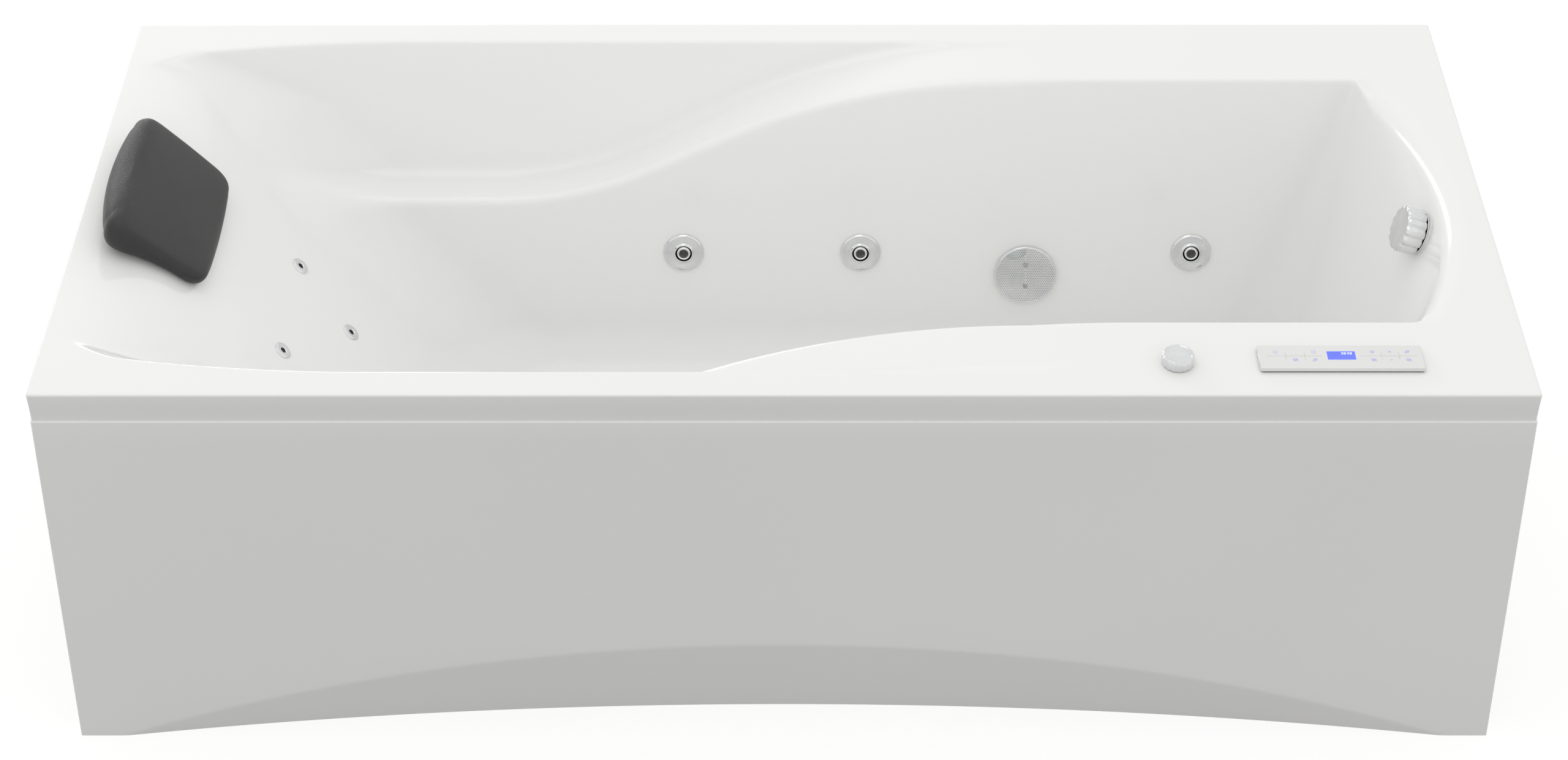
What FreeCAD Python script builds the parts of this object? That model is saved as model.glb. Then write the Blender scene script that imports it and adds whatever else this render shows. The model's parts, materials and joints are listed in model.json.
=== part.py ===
import FreeCAD, Part
import math
import os
import re

import Sketcher
from FreeCAD import Placement, Rotation, Vector

# Jetted bathtub: an acrylic shell on a steel frame, with its front panel, whirlpool system,
# waste and overflow. Millimetres. +X runs from the head end to the foot end, -Y is the panelled
# front, +Y the wall side, +Z up. The origin is on the floor under the middle of the tub.

SIZES = {
    # tub shell
    "tub_length": 1800.0,
    "tub_width": 800.0,
    "rim_height": 563.0,
    "skirt_drop": 41.0,
    "skirt_thickness": 5.0,
    "shell_thickness": 8.0,
    "rim_corner": 4.0,
    "rim_bevel": 2.0,
    "floor_height": 150.0,
    "floor_round": 50.0,
    "floor_bevel": 22.0,
    "wall_top_half": 261.0,
    "wall_draft": 13.0,
    "back_slope": 44.0,
    "back_x": -643.0,
    "back_corner": 60.0,
    "back_roll": 176.0,
    "foot_x": 777.0,
    "foot_draft": 20.0,
    "foot_bow": 74.0,
    "foot_bow_radius": 494.0,
    "foot_corner_top": 14.0,
    "foot_corner_floor": 60.0,
    # armrest recess above the ledges
    "ledge_height": 390.0,
    "recess_wall_half": 332.5,
    "recess_draft": 15.0,
    "recess_rim_half": 356.0,
    "flare_draft": 42.0,
    "recess_bend_x": -500.0,
    "recess_bend": 1733.0,
    "sweep_x": -400.0,
    "sweep_low": 537.0,
    "sweep_run": 99.0,
    "sweep_high": 951.0,
    "sweep_angle": 24.2,
    # front panel
    "panel_half": 899.0,
    "panel_height": 519.0,
    "panel_thickness": 5.0,
    "panel_return": 27.0,
    "panel_lip": 13.0,
    "panel_gap": 9.0,
    "arch_half": 840.0,
    "arch_rise": 156.5,
    "arch_depth": 55.0,
    # frame and feet
    "board_length": 800.0,
    "board_width": 230.0,
    "board_thickness": 16.0,
    "board_x": -335.0,
    "tube": 30.0,
    "tube_wall": 2.0,
    "rail_length": 1270.0,
    "rail_y": 100.0,
    "rail_height": 111.0,
    "cross_x": 620.0,
    "cross_height": 81.0,
    "cross_length": 772.0,
    "post": 20.0,
    "post_y": 376.0,
    "foot_y": 200.0,
    "centre_foot_x": 60.0,
    "centre_plate_height": 90.0,
    "stud_radius": 6.0,
    "stud_top": 108.0,
    "stud_clearance": 0.08,
    "pad_radius": 22.0,
    "pad_height": 12.0,
    "nut_across": 19.0,
    "nut_height": 10.0,
    "plate_thickness": 6.0,
    # side jets
    "jet_height": 313.0,
    "jet_head_x": -139.0,
    "jet_middle_x": 106.0,
    "jet_foot_x": 564.0,
    "jet_flange": 28.0,
    "jet_hole": 20.5,
    "jet_ball": 11.5,
    "jet_ball_gap": 0.3,
    "jet_bore": 6.0,
    "jet_ball_sunk": 2.0,
    "jet_barrel": 24.0,
    # back jets
    "back_jet_flange": 12.5,
    "back_jet_bore": 3.0,
    # water and air lines
    "line_y": 256.0,
    "line_height": 352.0,
    "line_radius": 16.0,
    "line_wall": 2.0,
    "line_bend": 40.0,
    "tee_half": 34.0,
    "line_head_x": -690.0,
    "air_y": 292.0,
    "air_height": 338.0,
    "air_radius": 6.0,
    "air_wall": 1.5,
    "air_bend": 20.0,
    "air_head_x": -726.0,
    # suction, light
    "suction_x": 335.0,
    "suction_height": 282.0,
    "suction_radius": 43.0,
    "suction_hole": 36.0,
    "suction_drum": 8.0,
    "suction_face": 3.0,
    "suction_pitch": 11.0,
    "suction_slot": 4.0,
    "suction_pipe": 25.0,
    "suction_wall": 2.5,
    "suction_bend": 45.0,
    "suction_socket": 236.0,
    "suction_run_y": 268.0,
    "suction_run_height": 126.0,
    "light_radius": 30.0,
    # pump
    "pump_x": -720.0,
    "pump_height": 126.0,
    "volute_radius": 70.0,
    "discharge_y": 30.0,
    "discharge_top": 215.0,
    "motor_radius": 60.0,
    "motor_length": 180.0,
    "shaft_radius": 8.0,
    # waste and overflow
    "drain_x": 555.0,
    "drain_hole": 26.0,
    "drain_bore": 20.0,
    "waste_height": 60.0,
    "waste_radius": 20.0,
    "overflow_height": 500.0,
    "knob_radius": 31.0,
    "knob_depth": 20.0,
    "knob_stand": 11.0,
    "waste_end": 395.0,
    "spigot": 30.0,
    "hose_radius": 16.0,
    "hose_wall": 2.5,
    "hose_bend": 60.0,
    "hose_x": 860.0,
    "hose_top": 470.0,
    "hose_height": 119.0,
    "branch_x": 605.0,
    # rim controls
    "air_knob_x": 473.0,
    "air_knob_y": -340.0,
    "air_knob_radius": 20.0,
    "air_knob_height": 14.0,
    "air_valve_low": 505.0,
    "control_x": 669.0,
    "control_y": -336.0,
    "control_length": 198.0,
    "control_width": 45.0,
    "glass_thickness": 4.5,
    # headrest
    "pillow_top_half": 120.0,
    "pillow_low_half": 114.0,
    "pillow_thickness": 46.0,
    "pillow_gap": 2.2,
}

doc = FreeCAD.newDocument("JettedBathtub")
sheet = doc.addObject("Spreadsheet::Sheet", "Size")
for row, (alias, number) in enumerate(SIZES.items(), start=1):
    sheet.set(f"A{row}", alias)
    sheet.set(f"B{row}", str(number))
    sheet.setAlias(f"B{row}", alias)
doc.recompute()

nodes = []
TRIG = ("sin", "cos", "tan", "sqrt")


def size(alias):
    """A driving dimension, as a number."""
    return float(sheet.get(alias))


def formula(text):
    """A formula in plain alias names, as the document reads it."""
    word = r"[a-z][a-z_]*[a-z]"
    return re.sub(word, lambda m: m[0] if m[0] in TRIG else f"Size.{m[0]}", str(text))


def tan(alias):
    """The tangent of an angle of the sheet."""
    return math.tan(math.radians(size(alias)))


def keep(feature, label):
    """Make a feature one of the tub's sub-parts."""
    feature.Label = label
    nodes.append(feature)
    return feature


def solid(label, shape):
    """A sub-part whose shape is worked out in code."""
    feature = doc.addObject("Part::Feature", label)
    feature.Shape = shape
    return keep(feature, label)


# Sketches and bodies ----------------------------------------------------------------------------

def origin_plane(body, role):
    return next(f for f in body.Origin.OriginFeatures if f.Role == role)


def sketch_on(body, role, loops=(), circles=()):
    """A sketch of closed corner loops and (x, y, radius) circles, every value bound to the sheet."""
    sketch = body.newObject("Sketcher::SketchObject", "Outline")
    sketch.AttachmentSupport = [(origin_plane(body, role), "")]
    sketch.MapMode = "FlatFace"

    def bind(kind, *items):
        index = sketch.addConstraint(Sketcher.Constraint(kind, *items[:-1], 1.0))
        sketch.setExpression(f"Constraints[{index}]", formula(items[-1]))

    for corners in loops:
        first = sketch.GeometryCount
        count = len(corners)
        turn = [(math.cos(2 * math.pi * i / count), math.sin(2 * math.pi * i / count))
                for i in range(count + 1)]
        for i in range(count):
            ends = Vector(*turn[i], 0), Vector(*turn[i + 1], 0)
            sketch.addGeometry(Part.LineSegment(*ends), False)
        for i in range(count):
            after = first + (i + 1) % count
            sketch.addConstraint(Sketcher.Constraint("Coincident", first + i, 2, after, 1))
        for i, (x, y) in enumerate(corners):
            bind("DistanceX", -1, 1, first + i, 1, x)
            bind("DistanceY", -1, 1, first + i, 1, y)
    for x, y, radius in circles:
        index = sketch.addGeometry(Part.Circle(Vector(1, 1, 0), Vector(0, 0, 1), 1), False)
        bind("Radius", index, radius)
        bind("DistanceX", -1, 1, index, 3, x)
        bind("DistanceY", -1, 1, index, 3, y)
    return sketch


def rectangle(x_low, x_high, y_low, y_high):
    return [(x_low, y_low), (x_high, y_low), (x_high, y_high), (x_low, y_high)]


def new_body(name):
    return doc.addObject("PartDesign::Body", name)


def pad(body, sketch, depth, both_ways=False, backwards=False):
    feature = body.newObject("PartDesign::Pad", "Pad")
    feature.Profile = sketch
    feature.setExpression("Length", formula(depth))
    feature.Midplane = both_ways
    feature.Reversed = backwards
    return feature


def extruded(name, role, loops, depth, circles=(), both_ways=False, backwards=False):
    body = new_body(name)
    pad(body, sketch_on(body, role, loops, circles), depth, both_ways, backwards)
    return body


def put(feature, x=0, y=0, z=0, axis=Vector(0, 0, 1)):
    """Place a feature: its own Z along axis, its origin at bound coordinates."""
    feature.Placement = Placement(Vector(), Rotation(Vector(0, 0, 1), axis))
    for name, value in (("x", x), ("y", y), ("z", z)):
        feature.setExpression(f"Placement.Base.{name}", formula(value))
    return feature


def box(name, length, width, height, x, y, z):
    """A block from its low corner."""
    feature = doc.addObject("Part::Box", name)
    for side, value in (("Length", length), ("Width", width), ("Height", height)):
        feature.setExpression(side, formula(value))
    return put(feature, x, y, z)


def cylinder(name, radius, height, x, y, z, axis=Vector(0, 0, 1)):
    feature = doc.addObject("Part::Cylinder", name)
    feature.setExpression("Radius", formula(radius))
    feature.setExpression("Height", formula(height))
    return put(feature, x, y, z, axis)


def joined(name, *features):
    feature = doc.addObject("Part::MultiFuse", name)
    feature.Shapes = list(features)
    return feature


def cut(name, base, *tools):
    feature = doc.addObject("Part::Cut", name)
    feature.Base = base
    feature.Tool = tools[0] if len(tools) == 1 else joined(name + "_tool", *tools)
    return feature


def group(name, *features):
    feature = doc.addObject("Part::Compound", name)
    feature.Links = list(features)
    return feature


# Tub shell --------------------------------------------------------------------------------------

def prism(corners, sweep):
    """The solid swept by a flat face of corner points."""
    points = [Vector(*corner) for corner in corners]
    return Part.Face(Part.makePolygon(points + points[:1])).extrude(Vector(*sweep))


def trough(half, draft, low, high, grow):
    """A long prism with drafted sides, half wide at the rim, between two heights."""
    slope = math.tan(math.radians(draft))
    half += grow / math.cos(math.radians(draft))
    rim, reach = size("rim_height"), size("tub_length")
    wide, narrow = half + (high - rim) * slope, half - (rim - low) * slope
    corners = [(-reach, -narrow, low), (-reach, narrow, low), (-reach, wide, high), (-reach, -wide, high)]
    return prism(corners, (2 * reach, 0, 0))


def foot_wall_angle():
    """The foot wall's lean from upright, on the centre line."""
    return math.radians(size("foot_draft"))


def basin_block(grow, top):
    """The deep basin as a sharp-edged solid: drafted sides, sloping backrest, bowed foot wall."""
    floor, rim, reach = size("floor_height") - grow, size("rim_height"), size("tub_width")
    slope = math.radians(size("back_slope"))
    back = size("back_x") - grow / math.sin(slope)

    def back_at(height):
        return back - (height - size("ledge_height")) / math.tan(slope)

    corners = [(back_at(floor), -reach, floor), (reach * 1.5, -reach, floor),
               (reach * 1.5, -reach, top), (back_at(top), -reach, top)]
    space = prism(corners, (0, 2 * reach, 0))
    space = space.common(trough(size("wall_top_half"), size("wall_draft"), floor, top, grow))
    lean = math.tan(foot_wall_angle())
    middle = size("foot_x") + size("foot_bow") + grow / math.cos(foot_wall_angle())
    middle -= (rim - floor) * lean
    bow_radius = size("foot_bow_radius") + grow
    arc = Part.Arc(Vector(middle - 2 * bow_radius, 0, floor), Vector(middle - bow_radius, bow_radius, floor),
                   Vector(middle, 0, floor)).toShape()
    other = Part.Arc(Vector(middle, 0, floor), Vector(middle - bow_radius, -bow_radius, floor),
                     Vector(middle - 2 * bow_radius, 0, floor)).toShape()
    disc = Part.Face(Part.Wire([arc, other]))
    round_end = disc.extrude(Vector((top - floor) * lean, 0, top - floor))
    box_end = Part.makeBox(reach * 2, reach * 2, top, Vector(middle - bow_radius - reach * 2, -reach, floor))
    return space.common(round_end.fuse(box_end))


def corner_edges(space, top, low_x, high_x):
    """The edges that run from the floor up to the top of the basin, between two stations."""
    floor, tall = size("floor_height"), []
    for edge in space.Edges:
        span = edge.BoundBox
        if span.ZMin < floor + 1 and span.ZMax > top - 1 and low_x < span.XMin < high_x:
            tall.append(edge)
    return tall


def basin_space(top):
    """The room inside the basin, with its corners and its floor rounded."""
    space = basin_block(0.0, top)
    space = space.makeFillet(size("back_corner"), corner_edges(space, top, -2000, 0))
    feet = corner_edges(space, top, 500, 2000)
    space = space.makeFillet(size("foot_corner_top"), size("foot_corner_floor"), feet)
    rim_of_floor = [e for e in space.Edges if e.BoundBox.ZMax < size("floor_height") + 1]
    return space.makeFillet(size("floor_round"), rim_of_floor)


def basin_back(grow, top):
    """The hidden outside of the basin: the same walls, its floor edges bevelled."""
    space = basin_block(grow, top)
    rim_of_floor = [e for e in space.Edges if e.BoundBox.ZMax < space.BoundBox.ZMin + 1]
    return space.makeChamfer(size("floor_bevel"), rim_of_floor)


def recess_plan(half, draft, low, high, grow):
    """The recess's sides: drafted planes whose head part bends inwards on a cone."""
    slope = math.tan(math.radians(draft))
    sides = trough(half, draft, low, high, grow)
    bend, bend_x, rim = size("recess_bend"), size("recess_bend_x"), size("rim_height")
    edge = half + grow / math.cos(math.radians(draft))
    cones = [Part.makeCone(bend - (rim - low) * slope, bend + (high - rim) * slope, high - low,
                           Vector(bend_x, side * (edge - bend), low)) for side in (1, -1)]
    head = cones[0].common(cones[1])
    rest = Part.makeBox(bend, bend, high - low, Vector(bend_x, -bend / 2, low))
    return sides.common(head.fuse(rest))


ROLL_LIFT = 0.5


def roll_centre():
    """Centre of the roll between the rim and the backrest, seen from the side."""
    slope = math.radians(size("back_slope"))
    roll, rim = size("back_roll"), size("rim_height")
    rise = roll - ROLL_LIFT
    x = size("back_x") - (rim - rise + roll * math.cos(slope) - size("ledge_height")) / math.tan(slope)
    return Vector(x - roll * math.sin(slope), 0, rim + ROLL_LIFT - roll)


def side_profile(grow, top):
    """Side view of the recess: head roll, backrest, level ledge and its S-shaped rise."""
    slope, sweep = math.radians(size("back_slope")), math.radians(size("sweep_angle"))
    roll = size("back_roll") - grow
    low, high = size("sweep_low") + grow, size("sweep_high") - grow
    ledge = size("ledge_height") - grow
    centre = roll_centre()

    def on_roll(angle):
        return centre + Vector(roll * math.sin(angle), 0, roll * math.cos(angle))

    start_height = min(size("rim_height"), centre.z + roll - ROLL_LIFT)
    start = -math.acos((start_height - centre.z) / roll)
    roll_end = on_roll(slope)
    heel = roll_end + Vector(1, 0, -math.tan(slope)) * ((roll_end.z - ledge) / math.tan(slope))
    low_centre = Vector(size("sweep_x"), 0, size("ledge_height") + size("sweep_low"))

    def on_low(angle):
        return low_centre + Vector(low * math.sin(angle), 0, -low * math.cos(angle))

    run = Vector(math.cos(sweep), 0, math.sin(sweep)) * size("sweep_run")
    high_start = on_low(sweep) + run
    high_centre = high_start + Vector(high * math.sin(sweep), 0, -high * math.cos(sweep))

    def on_high(angle):
        return high_centre + Vector(-high * math.sin(angle), 0, high * math.cos(angle))

    end_height = min(size("rim_height"), high_centre.z + high - 0.5)
    end = math.acos((end_height - high_centre.z) / high)
    first, last = on_roll(start), on_high(end)
    edges = [
        Part.Arc(first, on_roll((start + slope) / 2), roll_end),
        Part.LineSegment(roll_end, heel),
        Part.LineSegment(heel, on_low(0)),
        Part.Arc(on_low(0), on_low(sweep / 2), on_low(sweep)),
        Part.LineSegment(on_low(sweep), high_start),
        Part.Arc(high_start, on_high((sweep + end) / 2), last),
        Part.LineSegment(last, Vector(last.x, 0, top)),
        Part.LineSegment(Vector(last.x, 0, top), Vector(first.x, 0, top)),
        Part.LineSegment(Vector(first.x, 0, top), first),
    ]
    return Part.Wire([edge.toShape() for edge in edges])


def recess_space(grow, top):
    """The armrest recess above the ledges: its side profile, cut by drafted and flared sides."""
    rim, ledge, half_span = size("rim_height"), size("ledge_height"), size("tub_width")
    low = ledge - 2 * size("shell_thickness")
    wall = size("recess_wall_half"), size("recess_draft")
    flare = size("recess_rim_half"), size("flare_draft")
    plan = recess_plan(*wall, low, top, grow)
    flare_low = rim - (flare[0] - wall[0]) / (math.tan(math.radians(flare[1])) - math.tan(math.radians(wall[1])))
    plan = plan.fuse(recess_plan(*flare, flare_low - 5, top, grow))
    face = Part.Face(side_profile(grow, top))
    face.translate(Vector(0, -half_span, 0))
    return face.extrude(Vector(0, 2 * half_span, 0)).common(plan)


def wall_point(x, height, side):
    """A point on the basin's drafted side wall."""
    half = size("wall_top_half") - (size("rim_height") - height) * tan("wall_draft")
    return Vector(x, side * half, height)


def wall_normal(side):
    """The direction into the basin, square to a side wall."""
    draft = math.radians(size("wall_draft"))
    return Vector(0, -side * math.cos(draft), math.sin(draft))


def back_point(y, height):
    """A point on the backrest."""
    return Vector(size("back_x") - (height - size("ledge_height")) / tan("back_slope"), y, height)


BACK_NORMAL = Vector(math.sin(math.radians(SIZES["back_slope"])), 0,
                     math.cos(math.radians(SIZES["back_slope"])))
BACK_JETS = {"upper_wall_side": (67.0, 394.0), "upper_front_side": (-110.0, 394.0),
             "lower": (10.0, 327.0)}
JET_PLACES = {"head": "jet_head_x", "middle": "jet_middle_x", "foot": "jet_foot_x"}
SIDES = {"wall_side": 1, "front_side": -1}


def foot_point(height):
    """The point of the foot wall on the centre line at a height."""
    below = size("rim_height") - height
    return Vector(size("foot_x") + size("foot_bow") - below * math.tan(foot_wall_angle()), 0, height)


def foot_normal():
    lean = foot_wall_angle()
    return Vector(-math.cos(lean), 0, math.sin(lean))


def drill(point, direction, radius, depth=60.0):
    """A round hole through the shell, centred on its wall."""
    return Part.makeCylinder(radius, depth, point - direction * (depth / 2), direction)


def tub_shell():
    length, width, rim = size("tub_length"), size("tub_width"), size("rim_height")
    skirt, wall, thick = size("skirt_drop"), size("skirt_thickness"), size("shell_thickness")
    block = Part.makeBox(length, width, skirt, Vector(-length / 2, -width / 2, rim - skirt))
    upright = [e for e in block.Edges if e.BoundBox.ZLength > 1]
    block = block.makeFillet(size("rim_corner"), upright)
    top_edge = [e for e in block.Edges if e.BoundBox.ZMin > rim - 0.01]
    block = block.makeChamfer(size("rim_bevel"), top_edge)
    under = Part.makeBox(length - 2 * wall, width - 2 * wall, skirt - thick,
                         Vector(wall - length / 2, wall - width / 2, rim - skirt))
    below_rim = Part.makeBox(length - 2 * wall, width - 2 * wall, rim,
                             Vector(wall - length / 2, wall - width / 2, -thick))
    above = rim + 10
    outside = basin_back(thick, above).fuse(recess_space(thick, above)).common(below_rim)
    shell = block.cut(under).fuse(outside)
    shell = shell.cut(recess_space(0.0, above)).cut(basin_space(above))
    holes = []
    for side in SIDES.values():
        for x in JET_PLACES.values():
            point = wall_point(size(x), size("jet_height"), side)
            holes.append(drill(point, wall_normal(side), size("jet_hole")))
    suction = wall_point(size("suction_x"), size("suction_height"), 1)
    holes.append(drill(suction, wall_normal(1), size("suction_hole")))
    light = wall_point(size("suction_x"), size("suction_height"), -1)
    holes.append(drill(light, wall_normal(-1), size("light_radius") - 6))
    for y, height in BACK_JETS.values():
        holes.append(drill(back_point(y, height), BACK_NORMAL, size("back_jet_flange") - 3))
    holes.append(drill(foot_point(size("overflow_height")), foot_normal(), size("drain_hole")))
    holes.append(drill(Vector(size("drain_x"), 0, size("floor_height")), Vector(0, 0, 1),
                       size("drain_hole")))
    holes.append(drill(Vector(size("air_knob_x"), size("air_knob_y"), rim), Vector(0, 0, 1), 15.5))
    holes.append(Part.makeBox(171, 31, 60, Vector(size("control_x") - 85.5,
                                                  size("control_y") - 15.5, rim - 30)))
    return shell.cut(holes)


# Pieces shared by several systems ---------------------------------------------------------------

X_AXIS, Y_AXIS, Z_AXIS = Vector(1, 0, 0), Vector(0, 1, 0), Vector(0, 0, 1)
FLATS = 10
FITTING_SIDES = 16
BEND_STEPS = 3


def oriented(feature, point, direction):
    """Place a feature at a worked-out point of the shell, its own Z along a direction."""
    feature.Placement = Placement(point, Rotation(Z_AXIS, direction))
    return feature


def round_bar(name, radius, start, end):
    """A true round bar between two points."""
    feature = doc.addObject("Part::Cylinder", name)
    feature.setExpression("Radius", formula(radius))
    feature.Height = (end - start).Length
    return oriented(feature, start, end - start)


def rod(name, radius, start, end):
    """A many-sided bar between two points, for hidden pipework."""
    feature = doc.addObject("Part::Prism", name)
    feature.Polygon = FLATS
    feature.setExpression("Circumradius", formula(radius))
    feature.Height = (end - start).Length
    return oriented(feature, start, end - start)


def pipe(name, radius, wall, start, end):
    """A straight length of hidden pipe."""
    bore = rod(name + "_bore", f"{radius} - {wall}", start, end)
    return cut(name, rod(name + "_outside", radius, start, end), bore)


def faceted(name, rings, closed=False):
    """A solid of flat facets between rings of points; a closed one joins its last ring to its first."""
    count, faces = len(rings[0]), []
    for low, high in zip(rings, rings[1:] + (rings[:1] if closed else [])):
        for i in range(count):
            after = (i + 1) % count
            faces.append(flat_face([low[i], low[after], high[after], high[i]]))
    if not closed:
        faces += [flat_face(rings[0]), flat_face(rings[-1])]
    shell = Part.makeShell(faces)
    shell.sewShape()
    body = Part.makeSolid(shell)
    if body.Volume < 0:
        body.reverse()
    feature = doc.addObject("Part::Feature", name)
    feature.Shape = body
    return feature


def flat_face(points):
    return Part.Face(Part.makePolygon(points + points[:1]))


def ring_of_points(count, radius, z):
    """Points of a regular outline at a height."""
    turns = [2 * math.pi * i / count for i in range(count)]
    return [Vector(radius * math.cos(turn), radius * math.sin(turn), z) for turn in turns]


def lathe(name, corners, sides=0, closed=False):
    """A many-sided turned piece about its own Z axis, from (radius, height) corners."""
    return faceted(name, [ring_of_points(sides or FLATS, r, z) for r, z in corners], closed)


def elbow(name, radius, wall, bend, corner, arriving, leaving):
    """A quarter bend of hidden pipe at a corner of its route."""
    frame = Placement(corner + (leaving - arriving) * size(bend),
                      Rotation(leaving * -1, arriving, arriving.cross(leaving), "XYZ"))
    halves = []
    for tube in (size(radius), size(radius) - size(wall)):
        rings = []
        for step in range(BEND_STEPS + 1):
            swing = Rotation(Z_AXIS, 90.0 * step / BEND_STEPS)
            ring = [Vector(size(bend) + p.x, 0, p.y) for p in ring_of_points(FLATS, tube, 0)]
            rings.append([frame.multVec(swing.multVec(p)) for p in ring])
        halves.append(faceted(name, rings))
    return cut(name, *halves)


def route(name, radius, wall, bend, points):
    """A pipe along a route of corners: straight lengths and quarter bends."""
    pieces = []
    for i in range(len(points) - 1):
        along = (points[i + 1] - points[i]).normalize()
        start = points[i] + along * (size(bend) if i > 0 else 0)
        end = points[i + 1] - along * (size(bend) if i < len(points) - 2 else 0)
        pieces.append(pipe(f"{name}_length", radius, wall, start, end))
        if i < len(points) - 2:
            leaving = (points[i + 2] - points[i + 1]).normalize()
            pieces.append(elbow(f"{name}_bend", radius, wall, bend, points[i + 1], along, leaving))
    return pieces


def star(radius, notch, count):
    """Corners of a fluted outline: count ribs at radius with notches between them."""
    corners = []
    for i in range(2 * count):
        angle = math.pi * i / count
        reach = f"({radius})" if i % 2 == 0 else f"({radius} - {notch})"
        corners.append((f"{math.cos(angle):.5f} * {reach}", f"{math.sin(angle):.5f} * {reach}"))
    return corners


# Frame and feet ---------------------------------------------------------------------------------

def square_tube(role, length):
    half, inner = "tube / 2", "tube / 2 - tube_wall"
    loops = [rectangle(f"-{half}", half, f"-{half}", half),
             rectangle(f"-({inner})", inner, f"-({inner})", inner)]
    return extruded("SquareTube", role, loops, length, both_ways=True)


def frame():
    keep(box("BaseBoard", "board_length", "board_width", "board_thickness", "board_x",
             "-board_width / 2", "suction_run_height"), "base_board")
    rails = [put(square_tube("YZ_Plane", "rail_length"), 0, f"{side} * rail_y", "rail_height")
             for side in SIDES.values()]
    keep(group("FrameRails", *rails), "frame_rails")
    for end, sign in (("head", -1), ("foot", 1)):
        cross = put(square_tube("XZ_Plane", "cross_length"), f"{sign} * cross_x", 0, "cross_height")
        holes = [cylinder("StudHole", "stud_radius + 0.5", 60, f"{sign} * cross_x",
                          f"{side} * foot_y", 50) for side in SIDES.values()]
        keep(cut("CrossTube", cross, *holes), f"cross_{end}")
    plate = box("CentrePlate", 60, "board_width", "plate_thickness", "centre_foot_x - 30",
                "-board_width / 2", "centre_plate_height")
    hole = cylinder("StudHole", "stud_radius + 0.5", 60, "centre_foot_x", 0, 60)
    keep(cut("CentrePlateDrilled", plate, hole), "centre_foot_plate")
    posts = [box("Post", "post", "post", "rim_height - shell_thickness - cross_height - tube / 2",
                 f"{end} * cross_x - post / 2", f"{side} * post_y - post / 2", "cross_height + tube / 2")
             for end in (-1, 1) for side in SIDES.values()]
    keep(group("RimPosts", *posts), "rim_posts")


FEET = {"head_wall_side": ("-cross_x", "foot_y"), "head_front_side": ("-cross_x", "-foot_y"),
        "foot_wall_side": ("cross_x", "foot_y"), "foot_front_side": ("cross_x", "-foot_y"),
        "centre": ("centre_foot_x", "0")}


def levelling_feet():
    nuts = []
    for place, (x, y) in FEET.items():
        base = put(extruded("Pad", "XY_Plane", [star("pad_radius", 1.5, 8)], "pad_height"), x, y)
        stud = cylinder("Stud", "stud_radius", "stud_top - pad_height / 2", x, y, "pad_height / 2")
        keep(joined("LevellingFoot", base, stud), f"levelling_foot_{place}")
        under = "centre_plate_height" if place == "centre" else "cross_height - tube / 2"
        across = "nut_across / 1.732"
        hexagon = [(f"{math.cos(a):.5f} * {across}", f"{math.sin(a):.5f} * {across}")
                   for a in (math.pi * i / 3 for i in range(6))]
        nut = extruded("LockNut", "XY_Plane", [hexagon], "nut_height",
                       circles=[(0, 0, "stud_radius + stud_clearance")])
        nuts.append(put(nut, x, y, f"{under} - nut_height"))
    keep(group("FootLockNuts", *nuts), "foot_lock_nuts")


# Front panel ------------------------------------------------------------------------------------

def arch_face(low_drop, high_lift):
    """The region under the toe recess's crease line, on the panel's front face."""
    half, rise, y = size("arch_half"), size("arch_rise"), -size("tub_width") / 2
    ends = [Vector(-half, y, high_lift), Vector(half, y, high_lift)]
    crown = Part.Arc(ends[0], Vector(0, y, rise + high_lift), ends[1]).toShape()
    lower = [Vector(half, y, -low_drop), Vector(-half, y, -low_drop)]
    rest = Part.makePolygon([ends[1], *lower, ends[0]])
    return Part.Face(Part.Wire([crown, *rest.Edges]))


def front_panel():
    """The front panel: a plate with end and top returns, folded back below an arched crease."""
    half, height, thick = size("panel_half"), size("panel_height"), size("panel_thickness")
    front, depth, rise = -size("tub_width") / 2, size("panel_return"), size("arch_rise")
    plate = Part.makeBox(2 * half, thick, height, Vector(-half, front, 0))
    plate = plate.cut(arch_face(rise, 0).extrude(Vector(0, thick, 0)))
    fold = Vector(0, size("arch_depth"), -rise)
    band = arch_face(rise, 3 * thick).extrude(fold).cut(arch_face(2 * rise, 0).extrude(fold * 1.2))
    above_floor = Part.makeBox(2 * half, size("arch_depth") + thick, height, Vector(-half, front, 0))
    returns = [Part.makeBox(thick, depth, height, Vector(x, front, 0)) for x in (-half, half - thick)]
    returns.append(Part.makeBox(2 * half, size("panel_lip"), thick, Vector(-half, front, height - thick)))
    return plate.fuse([band.common(above_floor), *returns]).removeSplitter()


def panel_brackets():
    blocks = []
    for end in (-1, 1):
        for z, tall in (("cross_height - 3", 18), ("panel_height - 45", 20)):
            blocks.append(box("Bracket", "post", "panel_gap", tall, f"{end} * cross_x - post / 2",
                              "panel_thickness - tub_width / 2", z))
    keep(group("PanelBrackets", *blocks), "panel_brackets")


# Side jets --------------------------------------------------------------------------------------

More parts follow.
